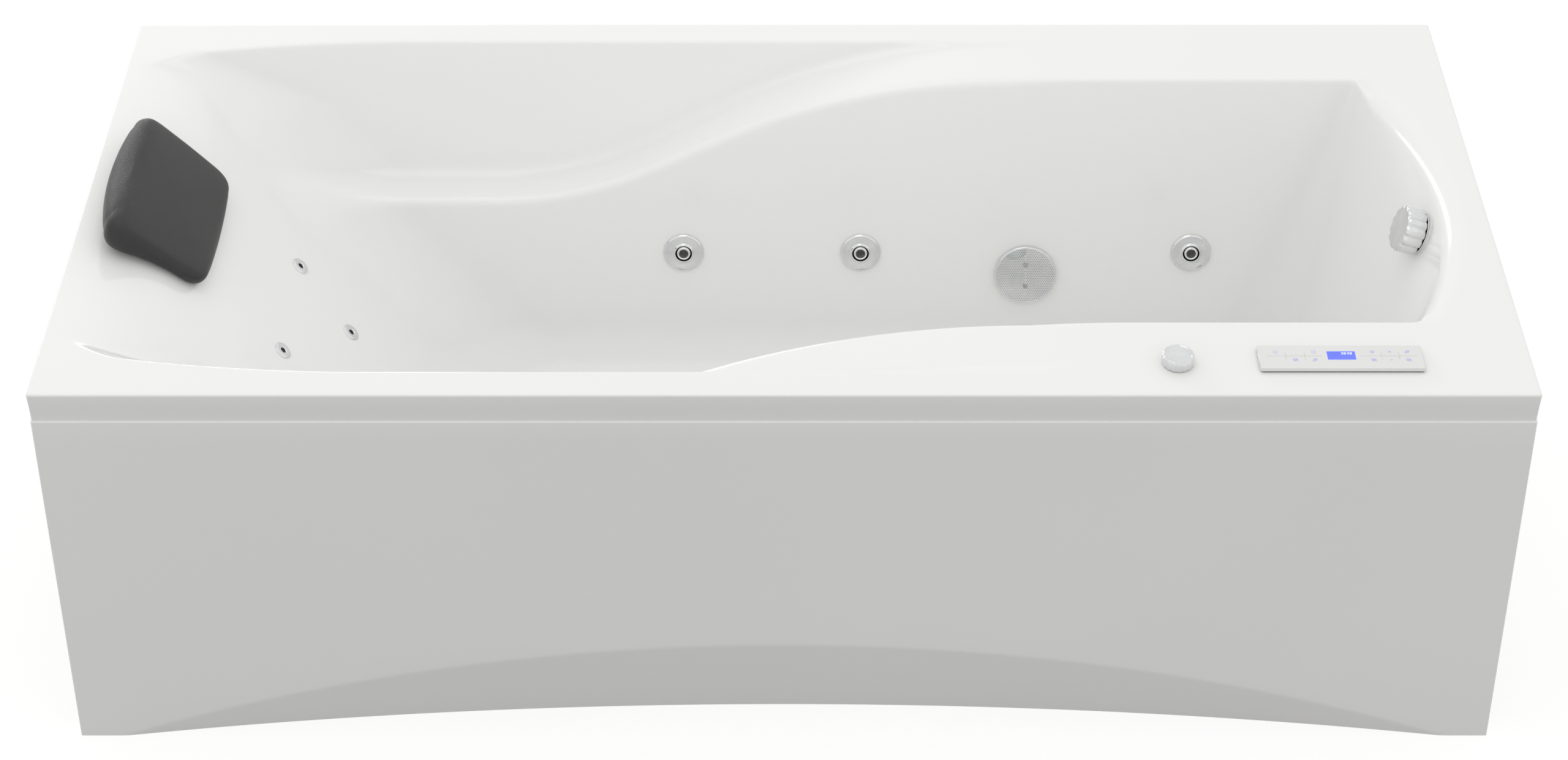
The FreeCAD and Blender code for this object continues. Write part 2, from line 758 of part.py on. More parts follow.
def jet_body(side, x, point, into):
    """The moulded body behind a jet: nut flange, barrel, riser, line tee and air port."""
    line = Vector(x, side * size("line_y"), size("line_height"))
    air = Vector(x, side * size("line_y"), size("air_height"))
    outwards = Y_AXIS * side
    wall, barrel = -size("shell_thickness"), size("jet_barrel")
    outline = [(30, wall), (30, -12), (barrel, -12), (barrel, -58)]
    foot_of_riser = Vector(x, line.y, 303)
    tee = X_AXIS * size("tee_half")
    outside = [oriented(lathe("JetBarrel", outline), point, into),
               rod("Riser", 17, foot_of_riser, line - Z_AXIS * 6),
               rod("Tee", "line_radius + 4", line - tee, line + tee),
               rod("AirPort", 8, air, air + outwards * 28)]
    inside = [rod("BarrelBore", "jet_barrel - 3.5", point + into * -54, point),
              rod("RiserBore", 12, foot_of_riser + Z_AXIS, line - Z_AXIS * 3),
              rod("LineBore", "line_radius + 0.4", line - tee * 1.1, line + tee * 1.1)]
    return cut("JetBody", joined("JetBodyOutside", *outside), *inside)


def jet_ring():
    """The dished flange of a jet, with the seat that holds its swivelling nozzle."""
    flange, sleeve, ball = size("jet_flange"), size("jet_hole") - 1, size("jet_ball")
    corners = [(sleeve, -9), (sleeve, 0), (flange, 0), (flange, 2), (flange - 4, 4), (ball - 0.6, 3),
               (ball + 0.9, -size("jet_ball_sunk")), (ball - 0.8, -9)]
    return lathe("JetRing", corners, FITTING_SIDES, closed=True)


def jet_nozzle():
    """A swivelling nozzle: a ball cut flat at front and back, with a bore through it."""
    ball, bore = size("jet_ball"), size("jet_bore")
    turns = [math.radians(angle) for angle in (-40, -13, 13, 40)]
    corners = [(ball * math.cos(turn), ball * math.sin(turn)) for turn in turns]
    front = corners[-1][1]
    return lathe("JetNozzle", corners + [(bore, front), (bore, -front)], FITTING_SIDES, closed=True)


def jets():
    bodies, rings = [], []
    for side_name, side in SIDES.items():
        for place, alias in JET_PLACES.items():
            x, into = size(alias), wall_normal(side)
            point = wall_point(x, size("jet_height"), side)
            bodies.append(jet_body(side, x, point, into))
            rings.append(oriented(jet_ring(), point, into))
            nozzle = oriented(jet_nozzle(), point - into * size("jet_ball_sunk"), into)
            keep(nozzle, f"jet_nozzle_{place}_{side_name}")
    keep(group("JetBodies", *bodies), "jet_bodies")
    keep(group("JetRings", *rings), "jet_rings")
    small, bore = [], size("back_jet_bore")
    edge = size("back_jet_flange")
    for y, height in BACK_JETS.values():
        corners = [(bore, 2), (edge - 3, 2), (edge, 0), (edge - 3.5, 0), (edge - 3.5, -22), (bore, -22)]
        small.append(oriented(lathe("BackJet", corners, closed=True), back_point(y, height), BACK_NORMAL))
    keep(group("BackJets", *small), "back_jets")


# Water and air lines ----------------------------------------------------------------------------

def u_route(foot_x, head_x, y, z):
    """Corners of a line that runs along one side, across behind the backrest and back."""
    return [Vector(foot_x, y, z), Vector(head_x, y, z), Vector(head_x, -y, z), Vector(foot_x, -y, z)]


def lines():
    y, z, head_x = size("line_y"), size("line_height"), size("line_head_x")
    foot_x = size("jet_foot_x") + size("tee_half") - 2
    water = route("WaterLine", "line_radius", "line_wall", "line_bend", u_route(foot_x, head_x, y, z))
    crossing = Vector(head_x, size("discharge_y"), z)
    water.append(pipe("Riser", "line_radius", "line_wall", Vector(head_x, crossing.y, size("discharge_top") - 15),
                      crossing - Z_AXIS * (size("line_radius") + 0.5)))
    collar = joined("CollarOutside",
                    rod("Collar", "line_radius + 4", crossing - Y_AXIS * 34, crossing + Y_AXIS * 34),
                    rod("CollarNeck", "line_radius + 4", crossing - Z_AXIS * 40, crossing))
    water.append(cut("CollarTee", collar,
                     rod("CollarBore", "line_radius + 0.4", crossing - Y_AXIS * 35, crossing + Y_AXIS * 35),
                     rod("NeckBore", "line_radius + 0.4", crossing - Z_AXIS * 41, crossing)))
    keep(group("WaterLine", *water), "water_line")
    air_y, air_z, air_head = size("air_y"), size("air_height"), size("air_head_x")
    air = route("AirLine", "air_radius", "air_wall", "air_bend",
                u_route(size("jet_foot_x") + 10, air_head, air_y, air_z))
    for side in SIDES.values():
        for alias in JET_PLACES.values():
            start = Vector(size(alias), side * (air_y - size("air_radius") - 0.2), air_z)
            air.append(rod("AirBranch", 4, start, Vector(start.x, side * (size("line_y") + 28.2), air_z)))
    valve = Vector(size("air_knob_x"), size("air_knob_y"), air_z)
    riser = [valve + Z_AXIS * (size("air_valve_low") + 12 - air_z), valve, valve + Y_AXIS * 40]
    air += route("AirRiser", "air_radius", "air_wall", "air_bend", riser)
    keep(group("AirLine", *air), "air_line")
    low, away, pump_x = size("suction_run_height"), size("suction_run_y"), size("pump_x")
    corners = [Vector(size("suction_x"), away, size("suction_socket")), Vector(size("suction_x"), away, low),
               Vector(pump_x, away, low), Vector(pump_x, 66, low)]
    keep(group("SuctionPipe", *route("SuctionPipe", "suction_pipe", "suction_wall", "suction_bend", corners)),
         "suction_pipe")


# Suction fitting and underwater light -----------------------------------------------------------

def suction_cover():
    """The drilled drum over the suction: a face of hexagonal holes beside a blank rib."""
    radius, pitch, face = size("suction_radius"), size("suction_pitch"), size("suction_face")
    drum, holes = size("suction_drum"), []
    for row in range(-4, 5):
        for column in range(-4, 5):
            x = (column + (0.5 if row % 2 else 0)) * pitch
            y = row * pitch * math.sqrt(3) / 2
            if abs(x) > pitch * 0.9 and math.hypot(x, y) < radius - 0.9 * pitch:
                points = [p + Vector(x, y, drum - face) for p in ring_of_points(6, size("suction_slot"), 0)]
                holes.append(flat_face(points))
    for end in (-1, 1):
        points = [p + Vector(0, end * 16, drum - face) for p in ring_of_points(8, 2.2, 0)]
        holes.append(flat_face(points))
    front = flat_face(ring_of_points(32, radius, drum - face)).cut(holes).extrude(Z_AXIS * face)
    rim = flat_face(ring_of_points(32, radius, 0)).cut(flat_face(ring_of_points(32, radius - 4, 0)))
    return front.fuse(rim.extrude(Z_AXIS * (drum - face)))


def suction_housing(point, into):
    """The cup behind the suction cover, with its screw posts and the socket of the suction pipe."""
    edge, wall, drum = size("suction_radius") - 1, -size("shell_thickness"), size("suction_drum")
    cup = oriented(lathe("SuctionCup", [(edge, wall), (edge, -14), (34, -14), (34, -72)]), point, into)
    away = size("suction_run_y")
    down, neck = Vector(point.x, away, point.z - 10), Vector(point.x, away, size("suction_socket") - 15)
    outside = joined("SuctionOutside", cup, rod("Neck", "suction_pipe + 4", neck, down))
    inside = [rod("SuctionRoom", 30, point - into * 60, point),
              rod("NeckBore", "suction_pipe + 0.4", neck - Z_AXIS, neck + Z_AXIS * 15.5),
              rod("Throat", 22, neck, down - Z_AXIS * 4)]
    across = X_AXIS.cross(into) * 16
    bridge = [rod("ScrewPost", 5, point + across * end - into * 62, point + across * end - into * -1)
              for end in (-1, 1)]
    body = joined("SuctionWhole", cut("SuctionShell", outside, *inside), *bridge)
    holes = [rod("ScrewHole", 2.2, point + across * end - into * 12, point + across * end + into * drum)
             for end in (-1, 1)]
    return cut("SuctionHousing", body, *holes)


def suction_and_light():
    point, into = wall_point(size("suction_x"), size("suction_height"), 1), wall_normal(1)
    oriented(solid("suction_cover", suction_cover()), point, into)
    screws, across, drum = [], X_AXIS.cross(into) * 16, size("suction_drum")
    for end in (-1, 1):
        corners = [(3.5, drum + 1.5), (3.5, drum), (2, drum), (2, -10)]
        screws.append(oriented(lathe("CoverScrew", corners, 8), point + across * end, into))
    keep(group("SuctionScrews", *screws), "suction_screws")
    keep(suction_housing(point, into), "suction_housing")
    point, into = wall_point(size("suction_x"), size("suction_height"), -1), wall_normal(-1)
    edge = size("light_radius")
    bezel = lathe("LightBezel", [(edge - 6.5, 0), (edge, 0), (edge, 2), (edge - 3, 4), (edge - 9, 4), (edge - 9, -30),
                                 (edge - 6.5, -33)], 24, closed=True)
    keep(oriented(bezel, point, into), "light_bezel")
    lens = lathe("LightLens", [(edge - 9.2, -26), (edge - 9.2, 3)], 24)
    keep(oriented(lens, point, into), "light_lens")


# Pump -------------------------------------------------------------------------------------------

def pump():
    centre = Vector(size("pump_x"), 0, size("pump_height"))
    axis = Y_AXIS * -1
    radius, length, shaft = size("motor_radius"), size("motor_length"), size("shaft_radius")
    bells = lathe("EndBells", [(radius - 2, 0), (radius - 2, 14), (radius - 6, 14), (radius - 6, length - 14),
                               (radius - 2, length - 14), (radius - 2, length)], 20)
    fins = extruded("Fins", "XY_Plane", [star("motor_radius", 6, 16)], "motor_length - 28")
    cowl = lathe("FanCowl", [(radius - 3, length - 3), (radius, length - 3), (radius, length + 37),
                             (12, length + 37), (12, length + 34), (radius - 3, length + 34)], 20, closed=True)
    for piece, away in ((bells, 0), (fins, 14), (cowl, 0)):
        oriented(piece, centre + axis * away, axis)
    bore = round_bar("ShaftBore", "shaft_radius + 0.08", centre - axis, centre + axis * (length + 1))
    keep(cut("PumpMotor", joined("MotorOutside", bells, fins, cowl), bore), "pump_motor")
    edge, pipe_edge = size("volute_radius"), size("suction_pipe")
    outline = [(shaft + 1, 0), (edge, 0), (edge, -58), (29, -64), (29, -90), (pipe_edge + 0.5, -90),
               (pipe_edge + 0.5, -66), (22, -66), (22, -46), (56, -46), (56, -12), (shaft + 1, -12)]
    volute = oriented(lathe("Volute", outline, 20, closed=True), centre, axis)
    top = Vector(size("line_head_x"), size("discharge_y"), size("discharge_top"))
    outlet = rod("Outlet", "line_radius + 4", Vector(top.x, top.y, 184), top)
    bore = rod("OutletBore", "line_radius - 3", Vector(top.x, top.y, 165), top + Z_AXIS)
    socket = rod("OutletSocket", "line_radius + 0.4", top - Z_AXIS * 15.5, top + Z_AXIS)
    keep(cut("PumpWetEnd", joined("WetEndOutside", volute, outlet), bore, socket), "pump_wet_end")
    spindle = round_bar("Spindle", "shaft_radius", centre - axis * 36, centre + axis * (length + 16))
    impeller = oriented(lathe("Impeller", [(14, -41), (14, -38), (48, -38), (48, -34), (14, -22)]), centre, axis)
    fan = oriented(extruded("Fan", "XY_Plane", [star("motor_radius - 10", 28, 7)], 12), centre + axis * (length + 6), axis)
    keep(joined("Rotor", spindle, impeller, fan), "pump_rotor")
    plate = box("BasePlate", 150, 216, 6, "pump_x - 75", -176, 10)
    saddles = [box("Saddle", 100, 10, 84, "pump_x - 50", y, 16) for y in (-176, -13)]
    cradle = round_bar("Cradle", "motor_radius - 1.8", centre + Y_AXIS * 40, centre - Y_AXIS * 200)
    keep(cut("PumpBase", joined("BaseOutside", plate, *saddles), cradle), "pump_base")
    pads = [put(extruded("RubberFoot", "XY_Plane", [star(12, 0.5, 6)], 10), f"pump_x + {x}", y, 0)
            for x in (-55, 55) for y in (-155, 20)]
    keep(group("PumpFeet", *pads), "pump_feet")


# Waste and overflow -----------------------------------------------------------------------------

def overflow():
    point, into = foot_point(size("overflow_height")), foot_normal()
    head = extruded("KnobHead", "XY_Plane", [star("knob_radius", 1.6, 18)], "knob_depth")
    oriented(head, point + into * size("knob_stand"), into)
    stem = round_bar("KnobStem", 6, point - into * 34, point + into * (size("knob_stand") + 1))
    keep(joined("OverflowKnob", head, stem), "overflow_knob")
    barrel = lathe("OverflowBarrel", [(22, 0.8), (25.4, 0.8), (25.4, -10), (34, -10), (34, -14), (26, -14),
                                      (26, -40), (6.5, -40), (6.5, -30), (10, -30), (10, -36), (22, -36)],
                   20, closed=True)
    oriented(barrel, point, into)
    guide = round_bar("StemGuide", 10, point - into * 38, point - into * 30)
    bore = round_bar("StemBore", 6.08, point - into * 41, point)
    mouth = Vector(size("hose_x"), 0, size("hose_top") - 30)
    spout = rod("Spout", "hose_radius + 4", mouth, mouth + Z_AXIS * 47)
    room = cut("SpoutRoom", rod("BarrelRoom", 21.5, point - into * 35.9, point),
               rod("BarrelHub", 10.2, point - into * 36, point))
    tools = [rod("SpoutSocket", "hose_radius + 0.4", mouth - Z_AXIS, mouth + Z_AXIS * 30.5),
             rod("SpoutThroat", 9, mouth, mouth + Z_AXIS * 42), bore]
    whole = joined("OverflowOutside", cut("SpoutTrimmed", spout, room), barrel, guide)
    keep(cut("OverflowBody", whole, *tools), "overflow_body")
    corners = [mouth + Z_AXIS * 30, Vector(mouth.x, 0, size("hose_height")),
               Vector(size("branch_x") - 22, 0, size("hose_height"))]
    keep(group("OverflowHose", *route("OverflowHose", "hose_radius", "hose_wall", "hose_bend", corners)),
         "overflow_hose")


def waste():
    x, low = size("drain_x"), size("hose_height")
    floor, bore = size("floor_height"), size("drain_bore")
    outline = [(bore, 78), (22, 78), (22, 100), (25.4, 100), (25.4, 134), (33, 134), (33, floor - 8), (25.4, floor - 8),
               (25.4, floor), (34, floor), (34, floor + 2), (31, floor + 3), (bore, floor + 3)]
    barrel = put(lathe("DrainBarrel", outline, 24, closed=True), "drain_x")
    mouth = Vector(size("branch_x"), 0, low)
    branch = rod("Branch", "hose_radius + 4", Vector(x + 21.5, 0, low), mouth)
    tools = [round_bar("PlugBore", "drain_bore", Vector(x, 0, 77), Vector(x, 0, floor + 4)),
             rod("BranchSocket", "hose_radius + 0.4", mouth - X_AXIS * 22.5, mouth + X_AXIS),
             rod("BranchBore", 12, Vector(x + 10, 0, low), mouth)]
    keep(cut("DrainBody", joined("DrainOutside", barrel, branch), *tools), "drain_body")
    cap = put(lathe("PlugCap", [(30, floor + 3.2), (30, floor + 5), (24, floor + 7.5)], 24), "drain_x")
    skirt = cylinder("PlugSkirt", "drain_bore - 0.08", 18, "drain_x", 0, "floor_height - 13")
    keep(joined("DrainPlug", cap, skirt), "drain_plug")
    bottle = lathe("Bottle", [(38, 20), (38, 76), (28, 80), (28, 98), (22.5, 98), (22.5, 77), (35, 73), (35, 23)], 20)
    bottle = put(bottle, "drain_x")
    start = Vector(x, 36, size("waste_height"))
    end = Vector(x, size("waste_end"), size("waste_height"))
    step = end - Y_AXIS * size("spigot")
    pieces = [bottle, rod("WasteTube", "waste_radius + 2", start, step),
              round_bar("WasteSpigot", "waste_radius", step - Y_AXIS, end)]
    bore = rod("WasteBore", "waste_radius - 3", start - Y_AXIS * 8, end + Y_AXIS)
    keep(cut("DrainTrap", joined("TrapOutside", *pieces), bore), "drain_trap")


# Rim controls -----------------------------------------------------------------------------------

def controls():
    x, y, rim = "air_knob_x", "air_knob_y", size("rim_height")
    head = extruded("KnobHead", "XY_Plane", [star("air_knob_radius", 0.8, 14)], "air_knob_height")
    stem = cylinder("KnobStem", 8, 20, x, y, "rim_height - 18")
    keep(joined("AirKnob", put(head, x, y, "rim_height + 0.5"), stem), "air_knob")
    low, air = size("air_valve_low"), size("air_radius") + 0.3
    outline = [(15, rim), (15, rim - 8), (19, rim - 8), (19, rim - 14), (15, rim - 14), (15, low)]
    valve = put(lathe("AirValveBody", outline, 20), x, y, 0)
    centre = Vector(size(x), size(y), 0)
    tools = [round_bar("StemBore", 8.08, centre + Z_AXIS * (rim - 22), centre + Z_AXIS * (rim + 1)),
             rod("AirSocket", air, centre + Z_AXIS * (low - 1), centre + Z_AXIS * (rim - 20))]
    keep(cut("AirValve", valve, *tools), "air_valve")
    low_x, low_y = "control_x - control_length / 2", "control_y - control_width / 2"
    keep(box("ControlGlass", "control_length", "control_width", "glass_thickness", low_x, low_y,
             "rim_height + 1.5"), "control_glass")
    flange = box("ControlFlange", "control_length - 4", "control_width - 4", 1.5, f"{low_x} + 2", f"{low_y} + 2",
                 "rim_height")
    tray = box("ControlTray", 170, 30, 22, "control_x - 85", "control_y - 15", "rim_height - 22")
    room = box("ControlRoom", 164, 24, 19, "control_x - 82", "control_y - 12", "rim_height - 19")
    keep(cut("ControlHousing", joined("HousingOutside", flange, tray), room), "control_housing")
    low_x = "post / 2 - cross_x"
    case = box("ControlCase", 160, 55, 110, low_x, "-post_y - 10", 250)
    gland = put(extruded("Gland", "XY_Plane", [star(9, 0.8, 6)], 14), f"{low_x} + 120", "27.5 - post_y - 10", 236)
    keep(joined("ControlBox", case, gland), "control_box")


# Headrest ---------------------------------------------------------------------------------------

def pillow_outline(centre, outwards, base, half, edge, crown):
    """One cross-section of the headrest: flat underside, drawn-in sides and a crowned top."""
    def at(y, height):
        return centre + outwards * (base + height) + Vector(0, y, 0)

    corner = min(9.0, half / 3)
    feet = [at(-half + corner, 0), at(half - corner, 0)]
    shoulders = [at(half - corner, edge), at(corner - half, edge)]
    arcs = [(Part.Arc(feet[1], at(half, edge / 2), shoulders[0]), 4),
            (Part.Arc(shoulders[0], at(0, crown), shoulders[1]), 10),
            (Part.Arc(shoulders[1], at(-half, edge / 2), feet[0]), 4)]
    points = [feet[0]]
    for arc, chords in arcs:
        points += arc.toShape().discretize(chords + 1)[:-1]
    return Part.makePolygon(points + points[:1])


def headrest_pillow():
    """The soft headrest, lofted over the roll between the rim and the backrest."""
    top, low, thick = size("pillow_top_half"), size("pillow_low_half"), size("pillow_thickness")
    roll, gap = size("back_roll"), size("pillow_gap")
    sections = []
    over_roll = ((7.5, 0.6 * top, 0.5 * thick, 0.6 * thick), (13, top, thick - 4, thick),
                 (30, (top + low) / 2, 0.5 * thick, 0.6 * thick))
    for angle, half, side_height, crown in over_roll:
        turn = math.radians(angle)
        outwards = Vector(math.sin(turn), 0, math.cos(turn))
        sections.append(pillow_outline(roll_centre(), outwards, roll + gap, half, side_height, crown))
    slope = math.radians(size("back_slope"))
    outwards = Vector(math.sin(slope), 0, math.cos(slope))
    down = Vector(math.cos(slope), 0, -math.sin(slope))
    down_slope = ((0, low + 2, 0.38 * thick, 0.46 * thick), (35, low - 3, 0.3 * thick, 0.36 * thick))
    for along, half, side_height, crown in down_slope:
        sections.append(pillow_outline(roll_centre() + down * along, outwards, roll + gap, half, side_height, crown))
    return Part.makeLoft(sections, True, True)


# Assembly ---------------------------------------------------------------------------------------

def checked(feature):
    """A sub-part's shape, once it is known to be sound."""
    shape = feature.Shape
    if shape.isNull() or not shape.isValid() or not shape.Solids:
        raise RuntimeError(f"{feature.Label}: the shape is not a valid solid")
    return shape


solid("tub_shell", tub_shell())
frame()
levelling_feet()
solid("front_panel", front_panel())
panel_brackets()
jets()
lines()
suction_and_light()
pump()
overflow()
waste()
controls()
solid("headrest_pillow", headrest_pillow())
doc.recompute()

for item in doc.Objects:
    if "Invalid" in item.State or "Error" in item.State:
        raise RuntimeError(f"{item.Label}: {item.State}")
os.makedirs("parts", exist_ok=True)
for node in nodes:
    checked(node).exportStep(f"parts/{node.Label}.step")
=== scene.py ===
"""Jetted bathtub: the dressed model on its CAD frame, with its light, floor and camera."""

import json
import logging
import math
from dataclasses import dataclass, field
from enum import Enum
from functools import cached_property
from typing import Any, Callable, Iterable, Sequence

import bmesh
import bpy
import numpy as np
from mathutils import Matrix, Vector


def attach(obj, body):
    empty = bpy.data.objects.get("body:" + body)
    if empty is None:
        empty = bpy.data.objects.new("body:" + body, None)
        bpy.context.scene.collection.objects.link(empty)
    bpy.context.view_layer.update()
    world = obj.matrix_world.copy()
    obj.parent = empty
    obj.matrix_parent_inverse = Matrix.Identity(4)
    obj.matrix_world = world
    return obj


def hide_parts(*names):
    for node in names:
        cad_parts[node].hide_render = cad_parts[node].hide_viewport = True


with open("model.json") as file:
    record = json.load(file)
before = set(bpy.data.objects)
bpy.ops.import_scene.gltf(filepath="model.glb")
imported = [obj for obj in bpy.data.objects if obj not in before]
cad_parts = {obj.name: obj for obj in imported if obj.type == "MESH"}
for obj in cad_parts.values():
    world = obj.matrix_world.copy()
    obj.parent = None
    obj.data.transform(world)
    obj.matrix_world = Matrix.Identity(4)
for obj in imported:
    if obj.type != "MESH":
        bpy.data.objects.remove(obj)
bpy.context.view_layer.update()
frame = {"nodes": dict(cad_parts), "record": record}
log = logging.getLogger("bathtub")

MM = 0.001
TUB = "tub"
CRISP_EDGE = 50.0
Point = tuple[float, float, float]
Wave = Callable[[float, float], float]


# Materials --------------------------------------------------------------------------------------

def linear(hex_colour: str) -> tuple[float, float, float, float]:
    """Turn an sRGB hex colour into the linear colour that shaders take.

    Args:
        hex_colour: A colour such as "#E6E6E4".

    Returns:
        Linear red, green, blue and an alpha of 1.
    """
    channels = [int(hex_colour[i:i + 2], 16) / 255 for i in (1, 3, 5)]
    return (*[c / 12.92 if c <= 0.04045 else ((c + 0.055) / 1.055) ** 2.4 for c in channels], 1.0)


def add_node(owner: bpy.types.Material | bpy.types.World, kind: str,
             settings: dict[str, Any] | None = None,
             links: dict[str, Any] | None = None) -> bpy.types.Node:
    """Add a shader node with its settings and its incoming links.

    Args:
        owner: The material or world whose tree gets the node.
        kind: The node's type name.
        settings: Attributes, and default values of input sockets by name.
        links: For each input socket, by name or number, the output socket that feeds it.

    Returns:
        The new node.
    """
    node = owner.node_tree.nodes.new(kind)
    for key, value in (settings or {}).items():
        if key in node.inputs:
            node.inputs[key].default_value = value
        else:
            setattr(node, key, value)
    for key, output in (links or {}).items():
        socket = node.inputs[int(key)] if key.isdigit() else node.inputs[key]
        owner.node_tree.links.new(output, socket)
    return node


class Surface(Enum):
    """How the small relief of a surface runs."""

    EVEN = "even"
    BRUSHED = "brushed"
    GRAINED = "grained"


@dataclass(frozen=True)
class Finish:
    """A real material and the way its surface was made.

    The colour varies softly between two hex values, and a noise of a real size in millimetres
    gives the relief and the change of gloss that keep it from looking like a flat fill.
    """

    name: str
    light: str
    dark: str
    roughness: float
    metallic: float = 0.0
    ior: float = 1.5
    coat: float = 0.0
    relief: float = 0.0
    relief_mm: float = 1.0
    patch_mm: float = 80.0
    surface: Surface = Surface.EVEN
    gloss_change: float = 0.05
    glow: float = 0.0

    def make(self) -> bpy.types.Material:
        """Return this finish as a Blender material, made once."""
        if self.name in bpy.data.materials:
            return bpy.data.materials[self.name]
        material = bpy.data.materials.new(self.name)
        material.use_nodes = True
        material.node_tree.nodes.clear()
        place = add_node(material, "ShaderNodeTexCoord").outputs["Object"]
        if self.surface is Surface.BRUSHED:
            stretch = {"Scale": (1.0, 14.0, 14.0)}
            place = add_node(material, "ShaderNodeMapping", stretch, {"Vector": place}).outputs["Vector"]
        patches = add_node(material, "ShaderNodeTexNoise",
                           {"Scale": 1 / (self.patch_mm * MM), "Detail": 3.0}, {"Vector": place})
        ramp = add_node(material, "ShaderNodeValToRGB", links={"Fac": patches.outputs["Fac"]})
        ramp.color_ramp.elements[0].position, ramp.color_ramp.elements[1].position = 0.3, 0.7
        ramp.color_ramp.elements[0].color = linear(self.dark)
        ramp.color_ramp.elements[1].color = linear(self.light)
        gloss = add_node(material, "ShaderNodeMapRange",
                         {"To Min": self.roughness * (1 - self.gloss_change),
                          "To Max": self.roughness * (1 + self.gloss_change)},
                         {"Value": patches.outputs["Fac"]})
        shader = add_node(material, "ShaderNodeBsdfPrincipled",
                          {"Metallic": self.metallic, "IOR": self.ior, "Coat Weight": self.coat,
                           "Coat Roughness": 0.03},
                          {"Base Color": ramp.outputs["Color"], "Roughness": gloss.outputs["Result"]})
        if self.glow:
            shader.inputs["Emission Color"].default_value = linear(self.light)
            shader.inputs["Emission Strength"].default_value = self.glow
        if self.relief:
            self.add_relief(material, shader, place)
        add_node(material, "ShaderNodeOutputMaterial", links={"Surface": shader.outputs["BSDF"]})
        return material

    def add_relief(self, material: bpy.types.Material, shader: bpy.types.Node, place: Any) -> None:
        """Add the bump of this finish: cells for a leather grain, fine noise for the others."""
        scale = {"Scale": 1 / (self.relief_mm * MM)}
        if self.surface is Surface.GRAINED:
            warp = add_node(material, "ShaderNodeTexNoise", {**scale, "Detail": 2.0}, {"Vector": place})
            mixed = add_node(material, "ShaderNodeMix", {"data_type": "VECTOR", "Factor": 0.0006},
                             {"4": place, "5": warp.outputs["Color"]})
            grain = add_node(material, "ShaderNodeTexVoronoi", {**scale, "feature": "DISTANCE_TO_EDGE"},
                             {"Vector": mixed.outputs[1]})
            height = add_node(material, "ShaderNodeMapRange", {"From Max": 0.35},
                              {"Value": grain.outputs["Distance"]}).outputs["Result"]
        else:
            noise = add_node(material, "ShaderNodeTexNoise", {**scale, "Detail": 4.0}, {"Vector": place})
            height = noise.outputs["Fac"]
        bump = add_node(material, "ShaderNodeBump", {"Strength": 0.6, "Distance": self.relief * MM},
                        {"Height": height})
        material.node_tree.links.new(bump.outputs["Normal"], shader.inputs["Normal"])


# Cast acrylic sheet, vacuum formed: a deep even white with a wet gloss and slow waves.
ACRYLIC = Finish("formed_white_acrylic", "#F3F3F2", "#F1F1EF", 0.16, ior=1.49, coat=0.5,
                 patch_mm=500)
# The same acrylic on the flat panel: broader, calmer highlights than the basin shows. Its colour is painted a
# little lighter than the basin's, painted light that makes up for the shade on the upright front.
LIGHTENED_PANEL_ACRYLIC = Finish("panel_white_acrylic_painted_lighter", "#F6F6F4", "#F3F3F1", 0.22, ior=1.49, coat=0.4,
                       patch_mm=600)
# Chopped glass strands in polyester resin, rolled by hand on the back: pale, fibrous and uneven.
LAMINATE = Finish("chopped_strand_laminate", "#D9D3BE", "#BDB598", 0.55, relief=0.5, relief_mm=7, patch_mm=18,
                  gloss_change=0.3)
# Chrome plate over brass: mirror bright, with a trace of handling haze.
CHROME = Finish("plated_chrome", "#E8E9E9", "#DDDEDF", 0.05, metallic=1.0, patch_mm=25, gloss_change=0.35)
# The moulded throat of a jet, lit only through its mouth.
DARK_BORE = Finish("moulded_grey_bore", "#9A9A98", "#8C8C8A", 0.5, patch_mm=6)
# Painted shade: a near-flat black disc in the mouth of a back jet stands for its unlit hole.
PAINTED_HOLE_SHADE = Finish("painted_shade_jet_hole", "#141414", "#0F0F0F", 0.6, patch_mm=4)
# Self-skinning polyurethane foam: a matt black skin with a fine leather grain.
FOAM_SKIN = Finish("self_skinned_foam", "#292929", "#252525", 0.4, relief=0.25, relief_mm=2.2, patch_mm=60,
                   surface=Surface.GRAINED, gloss_change=0.15)
# Back-printed float glass: a warm white that is as smooth as the glass over it.
PRINTED_GLASS = Finish("back_printed_glass", "#E6E6E5", "#E3E3E1", 0.06, ior=1.52, coat=0.6, patch_mm=90)
# Backlit display under the glass: a saturated blue that glows a little.
DISPLAY = Finish("lit_display", "#5866F2", "#4A55E0", 0.2, patch_mm=30, glow=0.75)
# Lit segments: pale blue strokes on the display.
DIGITS = Finish("lit_digits", "#E4E8FF", "#D8DDFF", 0.3, patch_mm=30, glow=0.9)
# Screen ink over the touch keys: faint lilac marks, given a faint painted glow.
ICON_INK = Finish("blue_screen_ink", "#C2C4F6", "#B4B7F2", 0.3, patch_mm=20, glow=0.1)
# Screen ink between the keys: hairlines that hardly show.
RULE_INK = Finish("grey_screen_ink", "#C9CAC6", "#C2C3BF", 0.3, patch_mm=20)
# Rigid PVC pipe, extruded: dull white with faint draw marks.
PVC = Finish("extruded_pvc", "#DFDFDA", "#D2D2CB", 0.38, relief=0.08, relief_mm=3, patch_mm=40,
             surface=Surface.BRUSHED)
# Hot-dip zinc on the frame: dull grey with soft spangles.
GALVANISED = Finish("galvanised_steel", "#A9AEB1", "#83898D", 0.42, metallic=0.9, relief=0.06, relief_mm=9,
                    patch_mm=14, gloss_change=0.4)
# Electroplated studs and nuts: brighter than the frame, faintly warm.
ZINC = Finish("zinc_plated_steel", "#C2C1B8", "#A5A59E", 0.3, metallic=1.0, relief=0.04, relief_mm=1.5,
              patch_mm=8)
# Brushed screw heads: a soft streaky shine.
STAINLESS = Finish("brushed_stainless", "#C6C5C2", "#B4B3B0", 0.28, metallic=1.0, relief=0.03, relief_mm=2,
                   patch_mm=30, surface=Surface.BRUSHED)
